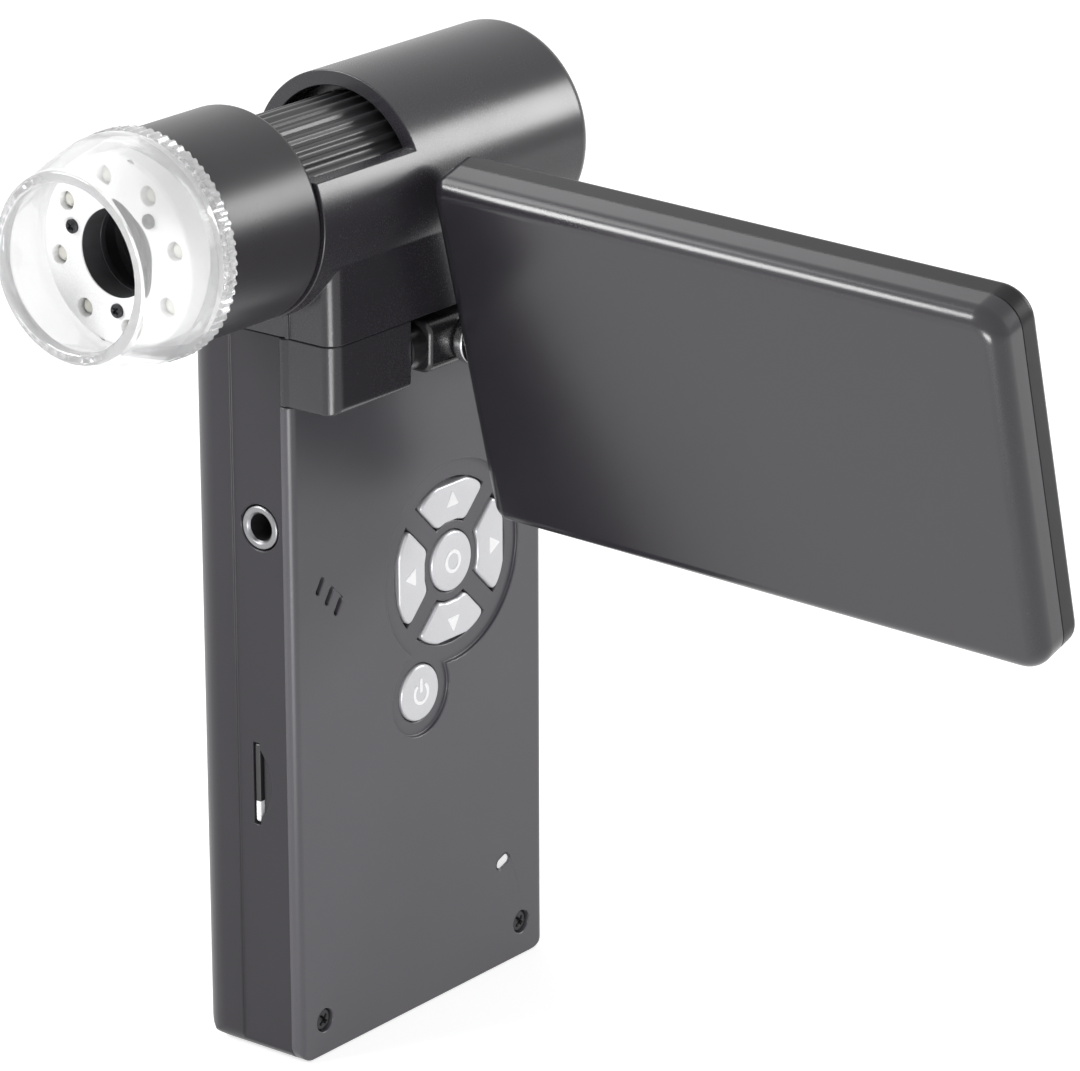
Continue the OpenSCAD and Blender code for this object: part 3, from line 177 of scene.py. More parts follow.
def make_grain_group():
    """Mould grain: fine noise gives the height, and fine and broad noise together move the
    roughness and the tone a little about their middle."""
    tree, given, result = new_group("mould_grain", {"Scale": 5000, "Roughness": 0.4, "Spread": 0.1},
                                    ["Height", "Roughness", "Tone"])
    place = add(tree, "TexCoord").outputs["Object"]
    fine = add(tree, "TexNoise", {"Vector": place, "Scale": given.outputs["Scale"], "Detail": 3.0,
                                  "Roughness": 0.6}).outputs[0]
    broad = add(tree, "TexNoise", {"Vector": place, "Scale": 55.0, "Detail": 3.0}).outputs[0]
    fine_part = math(tree, "SUBTRACT", fine, 0.5)
    broad_part = math(tree, "SUBTRACT", broad, 0.5)
    both = math(tree, "ADD", fine_part, broad_part)
    uneven = math(tree, "MULTIPLY", both, given.outputs["Spread"])
    tree.links.new(fine, result.inputs["Height"])
    tree.links.new(math(tree, "ADD", uneven, given.outputs["Roughness"], True), result.inputs["Roughness"])
    tree.links.new(math(tree, "ADD", math(tree, "MULTIPLY", both, 0.22), 1.0), result.inputs["Tone"])
    return tree


def make_wear_group():
    """Edge wear: where the normal of a rounded copy of the surface leaves the surface's own
    normal, an edge is near. Noise breaks the line up."""
    tree, given, result = new_group("edge_wear", {"Width": wear_width, "Amount": 0.5}, ["Mask"])
    rounded = add(tree, "Bevel", {"Radius": given.outputs["Width"]}, samples=4).outputs[0]
    own = add(tree, "NewGeometry").outputs["Normal"]
    same = add(tree, "VectorMath", {0: rounded, 1: own}, operation="DOT_PRODUCT").outputs["Value"]
    edge = math(tree, "MULTIPLY", math(tree, "SUBTRACT", 1.0, same, True), 6.0, True)
    place = add(tree, "TexCoord").outputs["Object"]
    patches = add(tree, "TexNoise", {"Vector": place, "Scale": 420.0, "Detail": 4.0}).outputs[0]
    broken = add(tree, "MapRange", {"Value": patches, "From Min": 0.38, "From Max": 0.62}).outputs[0]
    worn = math(tree, "MULTIPLY", math(tree, "MULTIPLY", edge, broken), given.outputs["Amount"], True)
    tree.links.new(worn, result.inputs["Mask"])
    return tree


mould_grain = make_grain_group()
edge_wear = make_wear_group()


def use_group(tree, group, values):
    """Places a node group in a material and sets its inputs."""
    item = tree.nodes.new("ShaderNodeGroup")
    item.node_tree = group
    for label, value in values.items():
        item.inputs[label].default_value = value
    return item.outputs


def blend_colour(tree, share, first, second, way="MIX"):
    """Mixes two colours, each a tuple or an output."""
    first = (*first, 1) if isinstance(first, tuple) else first
    second = (*second, 1) if isinstance(second, tuple) else second
    return add(tree, "Mix", {0: share, 6: first, 7: second}, data_type="RGBA", blend_type=way).outputs[2]


def moulded(name, colour, roughness, grain=5000.0, depth=0.000012, spread=0.10, wear=0.35,
            specular=0.5, metallic=0.0):
    """Moulded plastic: grained and slightly uneven, with its edges rubbed a little lighter."""
    material, tree = new_material(name)
    grained = use_group(tree, mould_grain, {"Scale": grain, "Roughness": roughness, "Spread": spread})
    worn = use_group(tree, edge_wear, {"Width": wear_width, "Amount": wear})
    toned = blend_colour(tree, 1.0, colour, grained["Tone"], "MULTIPLY")
    rubbed = blend_colour(tree, worn["Mask"], toned, tuple(min(1.0, 0.03 + 1.35 * c) for c in colour))
    bump = add(tree, "Bump", {"Strength": 0.5, "Distance": depth, "Height": grained["Height"]})
    return finished(material, add(tree, "BsdfPrincipled", {
        "Base Color": rubbed, "Roughness": grained["Roughness"], "Normal": bump.outputs[0],
        "Specular IOR Level": specular, "Metallic": metallic}))


def dress(piece, body, material, slot, *replaced):
    """Gives a piece its material and its body, and hides the CAD nodes it stands for. Its slot is not used.
    """
    piece.data.materials.clear()
    piece.data.materials.append(material)
    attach(piece, body)
    if replaced:
        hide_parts(*replaced)
    return piece


def shade(piece, angle=32):
    """Smooth shading with the sharp edges kept and the large faces flat."""
    mesh = piece.data
    mesh.polygons.foreach_set("use_smooth", np.ones(len(mesh.polygons), bool))
    mesh.set_sharp_from_angle(angle=radians(angle))
    evened = piece.modifiers.new("flat_faces", "WEIGHTED_NORMAL")
    evened.keep_sharp = True
    return piece


def eased(node, name, width, limit=30):
    """The CAD node's own solid with its edges eased: its triangles are merged, flat areas become
    single faces, and a round of the given width in mm runs along each edge past the limit."""
    mesh = nodes[node].data.copy()
    mesh.name = name
    work = bmesh.new()
    work.from_mesh(mesh)
    bmesh.ops.remove_doubles(work, verts=work.verts, dist=0.002 * mm)
    bmesh.ops.dissolve_limit(work, angle_limit=radians(0.4), verts=work.verts, edges=work.edges,
                             use_dissolve_boundaries=False)
    work.to_mesh(mesh)
    work.free()
    piece = link(bpy.data.objects.new(name, mesh))
    edges = piece.modifiers.new("eased_edges", "BEVEL")
    edges.width = width * mm
    edges.segments = 2
    edges.limit_method = "ANGLE"
    edges.angle_limit = radians(limit)
    edges.use_clamp_overlap = False
    return shade(piece)


def dress_eased(node, name, width, body, material, slot):
    """Dresses the eased copy of a CAD node, which stands for that node."""
    return dress(eased(node, name, width), body, material, slot, node)


shell_plastic = moulded("shell_plastic", shell_colour, 0.34, specular=0.30)
dress_eased("rear_shell", "rear_shell_tray", shell_edge, "handle", shell_plastic, "body_plastic")

# ---- Boards, speaker and battery contacts ----
# Green laminate boards with copper tracks under the lacquer, tact switches of bent tin, a small
# speaker can behind the slots, and sprung brass contacts that reach into the battery bay.


def laminate(name):
    """Circuit board: square tracks from two sets of stepped lines show through green lacquer, with
    tinned pads in rows."""
    material, tree = new_material(name)
    place = add(tree, "TexCoord").outputs["Object"]
    tracks = add(tree, "TexBrick", {"Vector": place, "Scale": 420.0, "Mortar Size": 0.06,
                                    "Color1": (0.018, 0.11, 0.05, 1), "Color2": (0.022, 0.13, 0.06, 1),
                                    "Mortar": (0.05, 0.20, 0.09, 1)})
    pads = add(tree, "TexVoronoi", {"Vector": place, "Scale": 330.0}, distance="CHEBYCHEV")
    tinned = math(tree, "LESS_THAN", pads.outputs["Distance"], 0.17)
    colour = blend_colour(tree, tinned, tracks.outputs["Color"], (0.62, 0.60, 0.52))
    grained = use_group(tree, mould_grain, {"Scale": 9000.0, "Roughness": 0.34, "Spread": 0.08})
    bump = add(tree, "Bump", {"Strength": 0.5, "Distance": 0.00003, "Height": tinned})
    return finished(material, add(tree, "BsdfPrincipled", {
        "Base Color": colour, "Roughness": grained["Roughness"], "Normal": bump.outputs[0],
        "Metallic": math(tree, "MULTIPLY", tinned, 0.9)}))


def brushed(name, colour, roughness, along="X", streak=26000.0):
    """Bare or plated metal: noise drawn out along one axis leaves fine streaks in roughness and
    height, and broad noise dulls it in patches."""
    material, tree = new_material(name)
    place = add(tree, "TexCoord").outputs["Object"]
    stretch = [1.0, 1.0, 1.0]
    stretch["XYZ".index(along)] = 0.04
    drawn = add(tree, "Mapping", {"Vector": place, "Scale": stretch}).outputs[0]
    streaks = add(tree, "TexNoise", {"Vector": drawn, "Scale": streak, "Detail": 2.0}).outputs[0]
    grained = use_group(tree, mould_grain, {"Scale": 1500.0, "Roughness": roughness, "Spread": 0.14})
    uneven = math(tree, "MULTIPLY", math(tree, "SUBTRACT", streaks, 0.5), 0.16)
    toned = blend_colour(tree, 1.0, colour, grained["Tone"], "MULTIPLY")
    bump = add(tree, "Bump", {"Strength": 0.3, "Distance": 0.000006, "Height": streaks})
    return finished(material, add(tree, "BsdfPrincipled", {
        "Base Color": toned, "Roughness": math(tree, "ADD", grained["Roughness"], uneven, True),
        "Normal": bump.outputs[0], "Metallic": 1.0}))


def finish_nodes(material, *names):
    """Gives CAD nodes that stay as they are their material."""
    for name in names:
        nodes[name].data.materials.clear()
        nodes[name].data.materials.append(material)


board_green = laminate("board_lacquer")
speaker_black = moulded("speaker_can", (0.020, 0.020, 0.022), 0.5, wear=0.2)
bright_steel = brushed("bright_steel", (0.62, 0.62, 0.63), 0.28)
contact_brass = brushed("contact_brass", (0.78, 0.60, 0.30), 0.25, "Z")
finish_nodes(board_green, "main_board", "key_board")
finish_nodes(bright_steel, "key_switches", "board_screws")
finish_nodes(contact_brass, "battery_contacts")
finish_nodes(speaker_black, "speaker")

# ---- Keypad plate ----
# The flat front of the handle, a satin grey moulding with a sunk dish for the keys and three slots
# for the speaker. A tongue hooks it under the hinge block, and two black screws hold its foot.
plate_colour = (0.068, 0.065, 0.074)
cover_screw_place = (20.6, -8.75, 4.8)
cover_screw = (1.5, 0.9, 0.8, 7.2)
light_place = (16.7, 14.9)
light_size = (2.6, 1.4)
light_slant = 20
light_levels = ((0.7, -8.96), (0.5, -8.95), (0.25, -8.92), (0.08, -8.86), (0.0, -8.75), (0.0, -7.35),
                (-0.4, -7.34), (-0.4, -1.02), (0.7, -1.0))


def grid_faces(rows, columns, ring):
    """Quads between neighbours of a grid. Each row closes on itself, and with ring so does each
    column."""
    row, column = np.meshgrid(np.arange(rows if ring else rows - 1), np.arange(columns), indexing="ij")
    here = row * columns
    below = (row + 1) % rows * columns
    beside = (column + 1) % columns
    corners = [here + column, here + beside, below + beside, below + column]
    return np.stack(corners, -1).reshape(-1, 4)


def solid(name, sheets, turn=None):
    """One object from closed sheets. A sheet is a grid of points in mm, and whether its rows close
    into a ring. Points that fall together at a pole are merged, and faces turned outwards."""
    points = []
    faces = []
    start = 0
    for grid, ring in sheets:
        rows, columns = grid.shape[:2]
        points.append(grid.reshape(-1, 3))
        faces.append(grid_faces(rows, columns, ring) + start)
        start += rows * columns
    mesh = bpy.data.meshes.new(name)
    mesh.from_pydata((np.concatenate(points) * mm).tolist(), [], np.concatenate(faces).tolist())
    work = bmesh.new()
    work.from_mesh(mesh)
    bmesh.ops.remove_doubles(work, verts=work.verts, dist=0.0005 * mm)
    bmesh.ops.recalc_face_normals(work, faces=work.faces)
    work.to_mesh(mesh)
    work.free()
    if turn:
        mesh.transform(turn)
    return shade(link(bpy.data.objects.new(name, mesh)))


def screw_grid(head, direction, size, turns=48):
    """A screw from its crowned head down. Its size is the head's radius and height, the shank's
    radius and the whole length. Height over radius and angle is a shallow parabola less a cross,
    which is deep where either arm's half width is not yet passed. Then come the head's side, its
    seat and the shank to the tip."""
    head_r, head_t, shank_r, length = size
    out = Vector(direction).normalized()
    first = np.array(out.orthogonal().normalized())
    out = np.array(out)
    second = np.cross(out, first)
    angle = np.linspace(0, 2 * pi, turns, endpoint=False)
    reach = np.linspace(0, 0.9, 10)[:, None] * head_r
    arm = np.minimum(np.abs(reach * np.cos(angle)), np.abs(reach * np.sin(angle)))
    inside = np.clip((0.14 * head_r - arm) / (0.08 * head_r) + 0.5, 0, 1)
    inside = inside * np.clip((0.62 * head_r - reach) / (0.1 * head_r), 0, 1)
    height = -0.12 * head_r * (reach / head_r) ** 2 - 0.35 * head_r * inside
    rest = np.array([(head_r, -0.22 * head_r), (head_r, -head_t), (shank_r, -head_t),
                     (shank_r, -length + 0.4), (0.5 * shank_r, -length), (0, -length)])
    reach = np.concatenate([np.broadcast_to(reach, height.shape), np.repeat(rest[:, :1], turns, 1)])
    height = np.concatenate([height, np.repeat(rest[:, 1:], turns, 1)])
    around = np.cos(angle)[:, None] * first + np.sin(angle)[:, None] * second
    return np.array(head) + height[..., None] * out + reach[..., None] * around, False


plate_plastic = moulded("plate_plastic", plate_colour, 0.36, grain=4200.0)
dress_eased("front_cover", "keypad_plate", 0.14, "handle", plate_plastic, "cover_plastic")

black_steel = brushed("black_steel", (0.055, 0.055, 0.058), 0.35)
x, y, z = cover_screw_place
cover_screws = [screw_grid((side * x, y, z), (0, -1, 0), cover_screw) for side in (-1, 1)]
dress(solid("cover_screw_pair", cover_screws), "handle", black_steel, "black_steel", "cover_screws")


def slanted_oval(inset):
    """Points of a slot with round ends, slanted: half circles about the two ends of its middle line,
    drawn inwards by the inset."""
    length, width = light_size
    run = (length - width) / 2
    angle = np.linspace(-pi / 2, 3 * pi / 2, 40, endpoint=False)
    shift = np.where(np.cos(angle) >= -1e-9, run, -run)
    half = width / 2 - inset
    u = shift * (1 if half > 0.01 else 0.98) + half * np.cos(angle)
    v = half * np.sin(angle)
    a = radians(light_slant)
    return light_place[0] + u * cos(a) - v * sin(a), light_place[1] + u * sin(a) + v * cos(a)


def flat_row(outline, y):
    """One row of points: an outline's x and z at depth y."""
    x, z = outline
    return np.stack([x, np.full_like(x, y), z], -1)


def light_grid():
    """The light pipe: a crowned face, a side, a wider foot and a flat back, as slanted ovals."""
    return np.stack([flat_row(slanted_oval(inset), y) for inset, y in light_levels]), False


def grained_finish(made, colour, grain, sockets=None, bump=None):
    """Ends a new material in a shader whose colour and roughness the mould grain makes a little
    uneven. The grain is its scale, roughness and spread, and the bump its strength and depth."""
    material, tree = made
    grained = use_group(tree, mould_grain, dict(zip(("Scale", "Roughness", "Spread"), grain)))
    toned = blend_colour(tree, 1.0, colour, grained["Tone"], "MULTIPLY")
    sockets = {"Base Color": toned, "Roughness": grained["Roughness"], **(sockets or {})}
    if bump:
        raised = add(tree, "Bump", {"Strength": bump[0], "Distance": bump[1], "Height": grained["Height"]})
        sockets["Normal"] = raised.outputs[0]
    return finished(material, add(tree, "BsdfPrincipled", sockets))


frosted = grained_finish(new_material("frosted_light_pipe"), (0.97, 0.97, 0.98), (7000.0, 0.35, 0.1),
                         {"Transmission Weight": 0.1})
dress(solid("charge_light_pipe", [light_grid()]), "handle", frosted, "frosted_plastic", "charge_light")

# ---- Keys ----
# Four ring quarters about a round key, and a round power key below. Each is a silver-painted cap
# with a crowned top, a flange behind the plate and a stem over its switch, and a raised white mark.
front_y = -9.0
pad = (6.6, 60.6)
power = (-0.2, 44.2)
ring_r = (5.6, 11.2)
key_split = 1.55
ok_r = 4.1
power_r = 3.85
flange_y = (-7.3, -6.7)
flange_out = 0.5
stem_y = -5.8
stem_r = 1.1
key_points = 112
key_crown = 0.14
key_round = 0.35
mark_rise = 0.07
mark_sink = 0.15
mark_r = 1.35
ok_line = 0.5
power_line = 0.45
power_gap = 70.0
bar_half = (0.23, 1.0)
bar_lift = 1.1
stem_ring = 8.4
arrow_ring = 8.6


def rounded_path(corners, fillets, steps=4):
    """A closed path through corners. At each one a quadratic curve leaves the path a fillet before
    the corner and joins it a fillet after, so its middle is the mean of both ends and the corner."""
    corners = np.array(corners, float)
    share = np.linspace(0, 1, steps + 1)[:, None]
    path = []
    for i, fillet in enumerate(fillets):
        corner = corners[i]
        if fillet == 0:
            path.append(corner[None])
            continue
        back = corners[i - 1] - corner
        on = corners[(i + 1) % len(corners)] - corner
        start = corner + fillet * back / np.linalg.norm(back)
        end = corner + fillet * on / np.linalg.norm(on)
        path.append((1 - share) ** 2 * start + 2 * share * (1 - share) * corner + share ** 2 * end)
    return np.concatenate(path)


spin_frames = {"x": ((1, 0, 0), (0, -1, 0), (0, 0, 1)), "y": ((0, 1, 0), (1, 0, 0), (0, 0, 1))}


def spun(along, radius, centre, axis, turns):
    """A profile turned about an axis: each point is the centre, plus its way along the axis, plus
    its radius times the turned unit vector. The radius may differ from column to column."""
    ahead, first, second = (np.array(v, float) for v in spin_frames[axis])
    angle = np.linspace(0, 2 * pi, turns, endpoint=False)
    around = np.cos(angle)[:, None] * first + np.sin(angle)[:, None] * second
    radius = np.broadcast_to(np.reshape(radius, (len(along), -1)), (len(along), turns))
    return np.array(centre) + np.reshape(along, (-1, 1, 1)) * ahead + radius[..., None] * around


def squared_circle(count, softness=0.24):
    """Two shares from -1 to 1 round a square with soft corners: the signed powers of cosine and
    sine, spread evenly over the turn."""
    angle = np.linspace(0, 2 * pi, count, endpoint=False) + pi / count
    c = np.cos(angle)
    s = np.sin(angle)
    return np.sign(c) * np.abs(c) ** softness, np.sign(s) * np.abs(s) ** softness


def quarter_outline(inset, turn):
    """A quarter of a ring, drawn inwards: the radius runs between both arcs, and the angle between
    the two split lines, which lie the split's half width beside the diagonals."""
    across, around = squared_circle(key_points)
    middle = sum(ring_r) / 2
    half = (ring_r[1] - ring_r[0]) / 2
    radius = middle + across * (half - inset)
    spread = pi / 4 - np.arcsin((key_split + inset) / radius)
    angle = pi / 2 + radians(turn) + around * spread
    return pad[0] + radius * np.cos(angle), pad[1] + radius * np.sin(angle)


def round_outline(inset, centre, r):
    """A circle drawn inwards by the inset."""
    angle = np.linspace(0, 2 * pi, key_points, endpoint=False)
    return centre[0] + (r - inset) * np.cos(angle), centre[1] + (r - inset) * np.sin(angle)


def key_sheets(outline, depth, stem):
    """A key as outlines at growing insets: a parabola crowns the top, a quarter circle rounds its
    edge, and the side runs down to the flange. The stem is a second closed sheet."""
    insets = np.concatenate([np.linspace(depth, key_round, 6),
                             key_round * (1 - np.sin(np.linspace(0.2, pi / 2, 6)))])
    fall = np.sqrt(np.clip(1 - (1 - np.minimum(insets / key_round, 1)) ** 2, 0, 1))
    height = front_y + key_crown * (1 - insets / depth) ** 2 + key_round * (1 - fall)
    levels = list(zip(insets, height)) + [(0, flange_y[0]), (-flange_out, flange_y[0] + 0.02),
                                          (-flange_out, flange_y[1]), (depth, flange_y[1])]
    rows = [flat_row(outline(inset), y) for inset, y in levels]
    post = spun([flange_y[1] - 0.1, flange_y[1] - 0.1, stem_y, stem_y], [0, stem_r, stem_r, 0],
                (stem[0], 0, stem[1]), "y", 24)
    return [(np.stack(rows), False), (post, False)]


def mark_sheet(corners, fillets, centre):
    """A raised mark: its rounded outline at the foot, then drawn in a little at the top."""
    x, z = rounded_path(corners, fillets).T
    levels = ((0, -mark_rise), (0.86, -mark_rise), (0.96, -0.6 * mark_rise), (1.0, mark_sink), (0, mark_sink))
    return np.stack([flat_row((centre[0] + share * x, centre[1] + share * z), front_y + rise)
                     for share, rise in levels]), False


def ring_mark(centre, r, width, gap=0.0):
    """A raised ring, or an arc open at the top by the gap in degrees: a small rounded section
    carried round the circle. An open arc's end rows shrink to a point."""
    start = radians(90 + gap / 2)
    stop = radians(450 - gap / 2)
    half = width / 2
    section = rounded_path([(-half, mark_sink), (half, mark_sink), (half, -mark_rise), (-half, -mark_rise)],
                           [0, 0, 0.05, 0.05], 2)
    angle = np.linspace(start, stop, 40, endpoint=gap > 0)
    reach = r + section[None, :, 0]
    rows = np.stack([centre[0] + reach * np.cos(angle)[:, None],
                     np.broadcast_to(front_y + section[None, :, 1], (len(angle), len(section))),
                     centre[1] + reach * np.sin(angle)[:, None]], -1)
    if gap > 0:
        first = np.repeat(rows[:1].mean(1, keepdims=True), len(section), 1)
        last = np.repeat(rows[-1:].mean(1, keepdims=True), len(section), 1)
        return np.concatenate([first, rows, last]), False
    return rows, True


key_silver = moulded("key_silver", (0.60, 0.60, 0.62), 0.32, grain=7000.0, depth=0.000006, wear=0.0,
                     metallic=0.40)
mark_white = moulded("mark_white", (0.95, 0.95, 0.96), 0.35, grain=6000.0, depth=0.000005, wear=0.0)
triangle = np.array([(0.0, 1.25), (-1.3, -0.95), (1.3, -0.95)])
for turn, name in ((0, "key_up"), (90, "key_left"), (180, "key_down"), (270, "key_right")):
    a = radians(turn)
    out = np.array([-sin(a), cos(a)])
    sheets = key_sheets(lambda inset: quarter_outline(inset, turn), (ring_r[1] - ring_r[0]) / 2,
                        np.array(pad) + stem_ring * out)
    dress(solid(name + "_cap", sheets), name, key_silver, "key_plastic", name)
    turned = triangle @ np.array([[cos(a), sin(a)], [-sin(a), cos(a)]])
    arrow = solid(name + "_arrow", [mark_sheet(turned, [0.3] * 3, np.array(pad) + arrow_ring * out)])
    dress(arrow, name, mark_white, "white_plastic")

ok_sheets = key_sheets(lambda inset: round_outline(inset, pad, ok_r), ok_r, pad)
dress(solid("key_ok_cap", ok_sheets), "key_ok", key_silver, "key_plastic", "key_ok")
dress(solid("key_ok_ring", [ring_mark(pad, mark_r, ok_line)]), "key_ok", mark_white, "white_plastic")
power_sheets = key_sheets(lambda inset: round_outline(inset, power, power_r), power_r, power)
dress(solid("key_power_cap", power_sheets), "key_power", key_silver, "key_plastic", "key_power")
bar = np.array([(-1, -1), (1, -1), (1, 1), (-1, 1)]) * bar_half
power_mark = [ring_mark(power, mark_r, power_line, power_gap),
              mark_sheet(bar, [0.15] * 4, (power[0], power[1] + bar_lift))]
dress(solid("key_power_mark", power_mark), "key_power", mark_white, "white_plastic")

# ---- Hinge block ----
# The solid moulding above the keypad plate, screwed on from inside. Its notch holds the knuckle
# between two cheeks, each bored for a fold pin.
block_plastic = moulded("block_plastic", (0.030, 0.028, 0.033), 0.26, specular=0.45)
dress_eased("hinge_block", "hinge_cheek_block", 0.22, "handle", block_plastic, "body_plastic")
finish_nodes(bright_steel, "hinge_screws")

# ---- Sockets and card ----
# A plated jack for the picture signal with its round nut, a folded tin card reader with the card's
# end just inside the shell, and a folded tin charging socket on the other side.
jack = (-3.4, 72.8)
jack_front_x = -25.3
jack_mouth = 0.4
jack_nut = 1.4
jack_bore_end_x = -12.3
jack_back_x = -11.5
jack_ring_r = 2.9
jack_bore_r = 1.8
# the card's lower end is painted light up to this height, as a painted highlight
card_highlight_top = 0.0352


def jack_sheet():
    """The jack as one closed profile: the nut's rounded lip, its side, the back, and the bore with
    a countersunk mouth and a flat end."""
    bore = [(jack_bore_end_x, 0.0), (jack_bore_end_x, jack_bore_r)]
    lip = rounded_path([(jack_front_x + jack_mouth, jack_bore_r), (jack_front_x, jack_bore_r + 0.3),
                        (jack_front_x, jack_ring_r), (jack_front_x + jack_nut, jack_ring_r)],
                       [0, 0.2, 0.4, 0])
    back = [(jack_back_x, jack_ring_r), (jack_back_x, 0.0)]
    points = np.concatenate([bore, lip, back])
    return spun(points[:, 0], points[:, 1], (0, *jack), "x", 64), False


jack_plate = brushed("jack_plate", (0.24, 0.24, 0.25), 0.34, "Y")
socket_tin = brushed("socket_tin", (0.66, 0.66, 0.66), 0.30, "X")
card_black, card_tree = new_material("card_black")
card_place = add(card_tree, "SeparateXYZ", {0: add(card_tree, "TexCoord").outputs["Object"]})
# painted highlight: a light band across the card's lower end, below this height
painted_card_highlight = math(card_tree, "LESS_THAN", card_place.outputs["Z"], card_highlight_top)
card_colour = blend_colour(card_tree, painted_card_highlight, (0.022, 0.022, 0.024), (0.80, 0.80, 0.81))
grained_finish((card_black, card_tree), card_colour, (6000.0, 0.34, 0.08))
dress(solid("signal_jack", [jack_sheet()]), "handle", jack_plate, "steel", "av_jack")
dress_eased("card_socket", "card_reader", 0.08, "handle", socket_tin, "steel")
dress_eased("usb_socket", "charging_socket", 0.12, "handle", socket_tin, "steel")
dress_eased("memory_card", "card_case", 0.12, "card", card_black, "black_plastic")

# ---- Battery and door ----
# A flat cell in an aluminium can with a printed sleeve's grey, under a door of the shell's own
# plastic that lifts straight off by its thumb rest.
battery_can = brushed("battery_can", (0.50, 0.51, 0.53), 0.34, "Z")
dress_eased("battery", "battery_cell", 0.5, "handle", battery_can, "battery_can")
dress_eased("battery_door", "battery_lid", 0.16, "battery_door", shell_plastic, "body_plastic")

# ---- Barrel housing ----
# The rear half of the barrel with the saddle that stands on the handle, in the shell's plastic.
# The window on top bares the focus wheel. Screws from below and behind hold it.
barrel_axis = (0.0, -3.4, 114.88)
saddle_screw_place = (20.0, 3.0, 96.1)
saddle_screw = (1.5, 0.9, 0.8, 5.1)
spigot_screw_x = -26.5
spigot_screw_r = 13.8
spigot_screw_turns = (-8, -48)
spigot_screw = (1.4, 0.9, 0.8, 2.65)

barrel_plastic = moulded("barrel_plastic", shell_colour, 0.26)
dress_eased("barrel_housing", "barrel_saddle_housing", 0.12, "handle", barrel_plastic, "body_plastic")
x, y, z = saddle_screw_place
barrel_screws = [screw_grid((side * x, y, z), (0, 0, -1), saddle_screw) for side in (-1, 1)]
for turn in spigot_screw_turns:
    away = np.array([0, cos(radians(turn)), sin(radians(turn))])
    head = np.array([spigot_screw_x, *barrel_axis[1:]]) + spigot_screw_r * away
    barrel_screws.append(screw_grid(head, away, spigot_screw))
dress(solid("barrel_screw_set", barrel_screws), "handle", black_steel, "steel", "barrel_screws")

# ---- Front tube ----
# The barrel's front half: it carries the lens guide and the lamp ring, and its half ring is screwed
# into the housing. Slightly glossier than the handle.
tube_plastic = moulded("tube_plastic", (0.034, 0.032, 0.036), 0.30, specular=0.40)
dress_eased("front_tube", "front_tube_moulding", 0.07, "handle", tube_plastic, "body_plastic")

# ---- Focus wheel ----
# A black nylon drum with 36 rounded ribs that shows in the window. It turns on a journal at each
# end, and its thread drives the lens carriage.
wheel_r = 10.8
wheel_round = 0.6
wheel_rib = 0.45
wheel_ribs = 36
wheel_x = (-27.8, -5.4)
journal_x = (-31.4, -3.4)
journal_r = 8.45
slide_r = 7.0


def wheel_sheet():
    """The wheel's closed section turned about the barrel's axis. Where the section is the drum, the
    radius drops into grooves by a steepened cosine, one per rib."""
    turns = wheel_ribs * 10
    angle = np.linspace(0, 2 * pi, turns, endpoint=False)
    groove = wheel_rib * np.clip(0.5 - 0.95 * np.cos(wheel_ribs * angle), 0, 1)
    section = [(journal_x[0], slide_r), (journal_x[0], journal_r), (wheel_x[0], journal_r),
               (wheel_x[0], wheel_r), (wheel_x[1], wheel_r), (wheel_x[1], journal_r),
               (journal_x[1], journal_r), (journal_x[1], slide_r)]
    path = rounded_path(section, [0.3, 0.4, 0, wheel_round, wheel_round, 0, 0.4, 0.3], 5)
    share = np.clip((path[:, 1:] - journal_r) / (wheel_r - wheel_round - journal_r), 0, 1) ** 4
    return spun(path[:, 0], path[:, 1:] - share * groove, barrel_axis, "x", turns), True


wheel_nylon = moulded("wheel_nylon", (0.048, 0.048, 0.051), 0.36, wear=0.6)
dress(solid("focus_drum", [wheel_sheet()]), "focus", wheel_nylon, "black_plastic", "focus_wheel")

# ---- Lens carriage, lenses and sensor ----
# A black sleeve slides in the guide with a curved glass at each end. A ring holds the front glass,
# and the picture chip sits on its round board behind.
front_glass_x = (-41.05, -38.05)
rear_glass_x = (-11.5, -9.5)
glass_r = 5.78
glass_bulge = (0.9, 0.5)
ring_x = (-43.05, -41.05)
ring_r_in = 4.7
bore_colour = (0.055, 0.055, 0.058)


def lens_sheet(ends, bulge):
    """A lens: both faces are parabolas that bulge at the axis, joined by a ground edge."""
    share = np.linspace(0, 1, 12)
    front = ends[0] + bulge * share ** 2
    back = ends[1] - bulge * share ** 2
    along = np.concatenate([front, back[::-1]])
    radius = glass_r * np.concatenate([share, share[::-1]])
    return spun(along, radius, barrel_axis, "x", 72), False


coated = grained_finish(new_material("coated_glass"), (0.82, 0.90, 0.94), (900.0, 0.02, 0.02),
                        {"Transmission Weight": 1.0, "IOR": 1.5, "Specular IOR Level": 0.2})
bore_black = moulded("bore_black", bore_colour, 0.5, grain=9000.0, wear=0.0, specular=0.3)
ring_section = rounded_path([(ring_x[0], ring_r_in + 0.5), (ring_x[0], glass_r), (ring_x[1], glass_r),
                             (ring_x[1], ring_r_in)], [0.25, 0.1, 0.05, 0.1])
retainer = spun(ring_section[:, 0], ring_section[:, 1], barrel_axis, "x", 72)
finish_nodes(bore_black, "lens_carriage")
front_glass = solid("front_glass", [lens_sheet(front_glass_x, glass_bulge[0])])
rear_glass = solid("rear_glass", [lens_sheet(rear_glass_x, glass_bulge[1])])
dress(front_glass, "lens", coated, "lens_glass", "objective_lens")
dress(rear_glass, "lens", coated, "lens_glass", "rear_lens")
dress(solid("glass_ring", [(retainer, True)]), "lens", bore_black, "black_plastic", "lens_retainer")

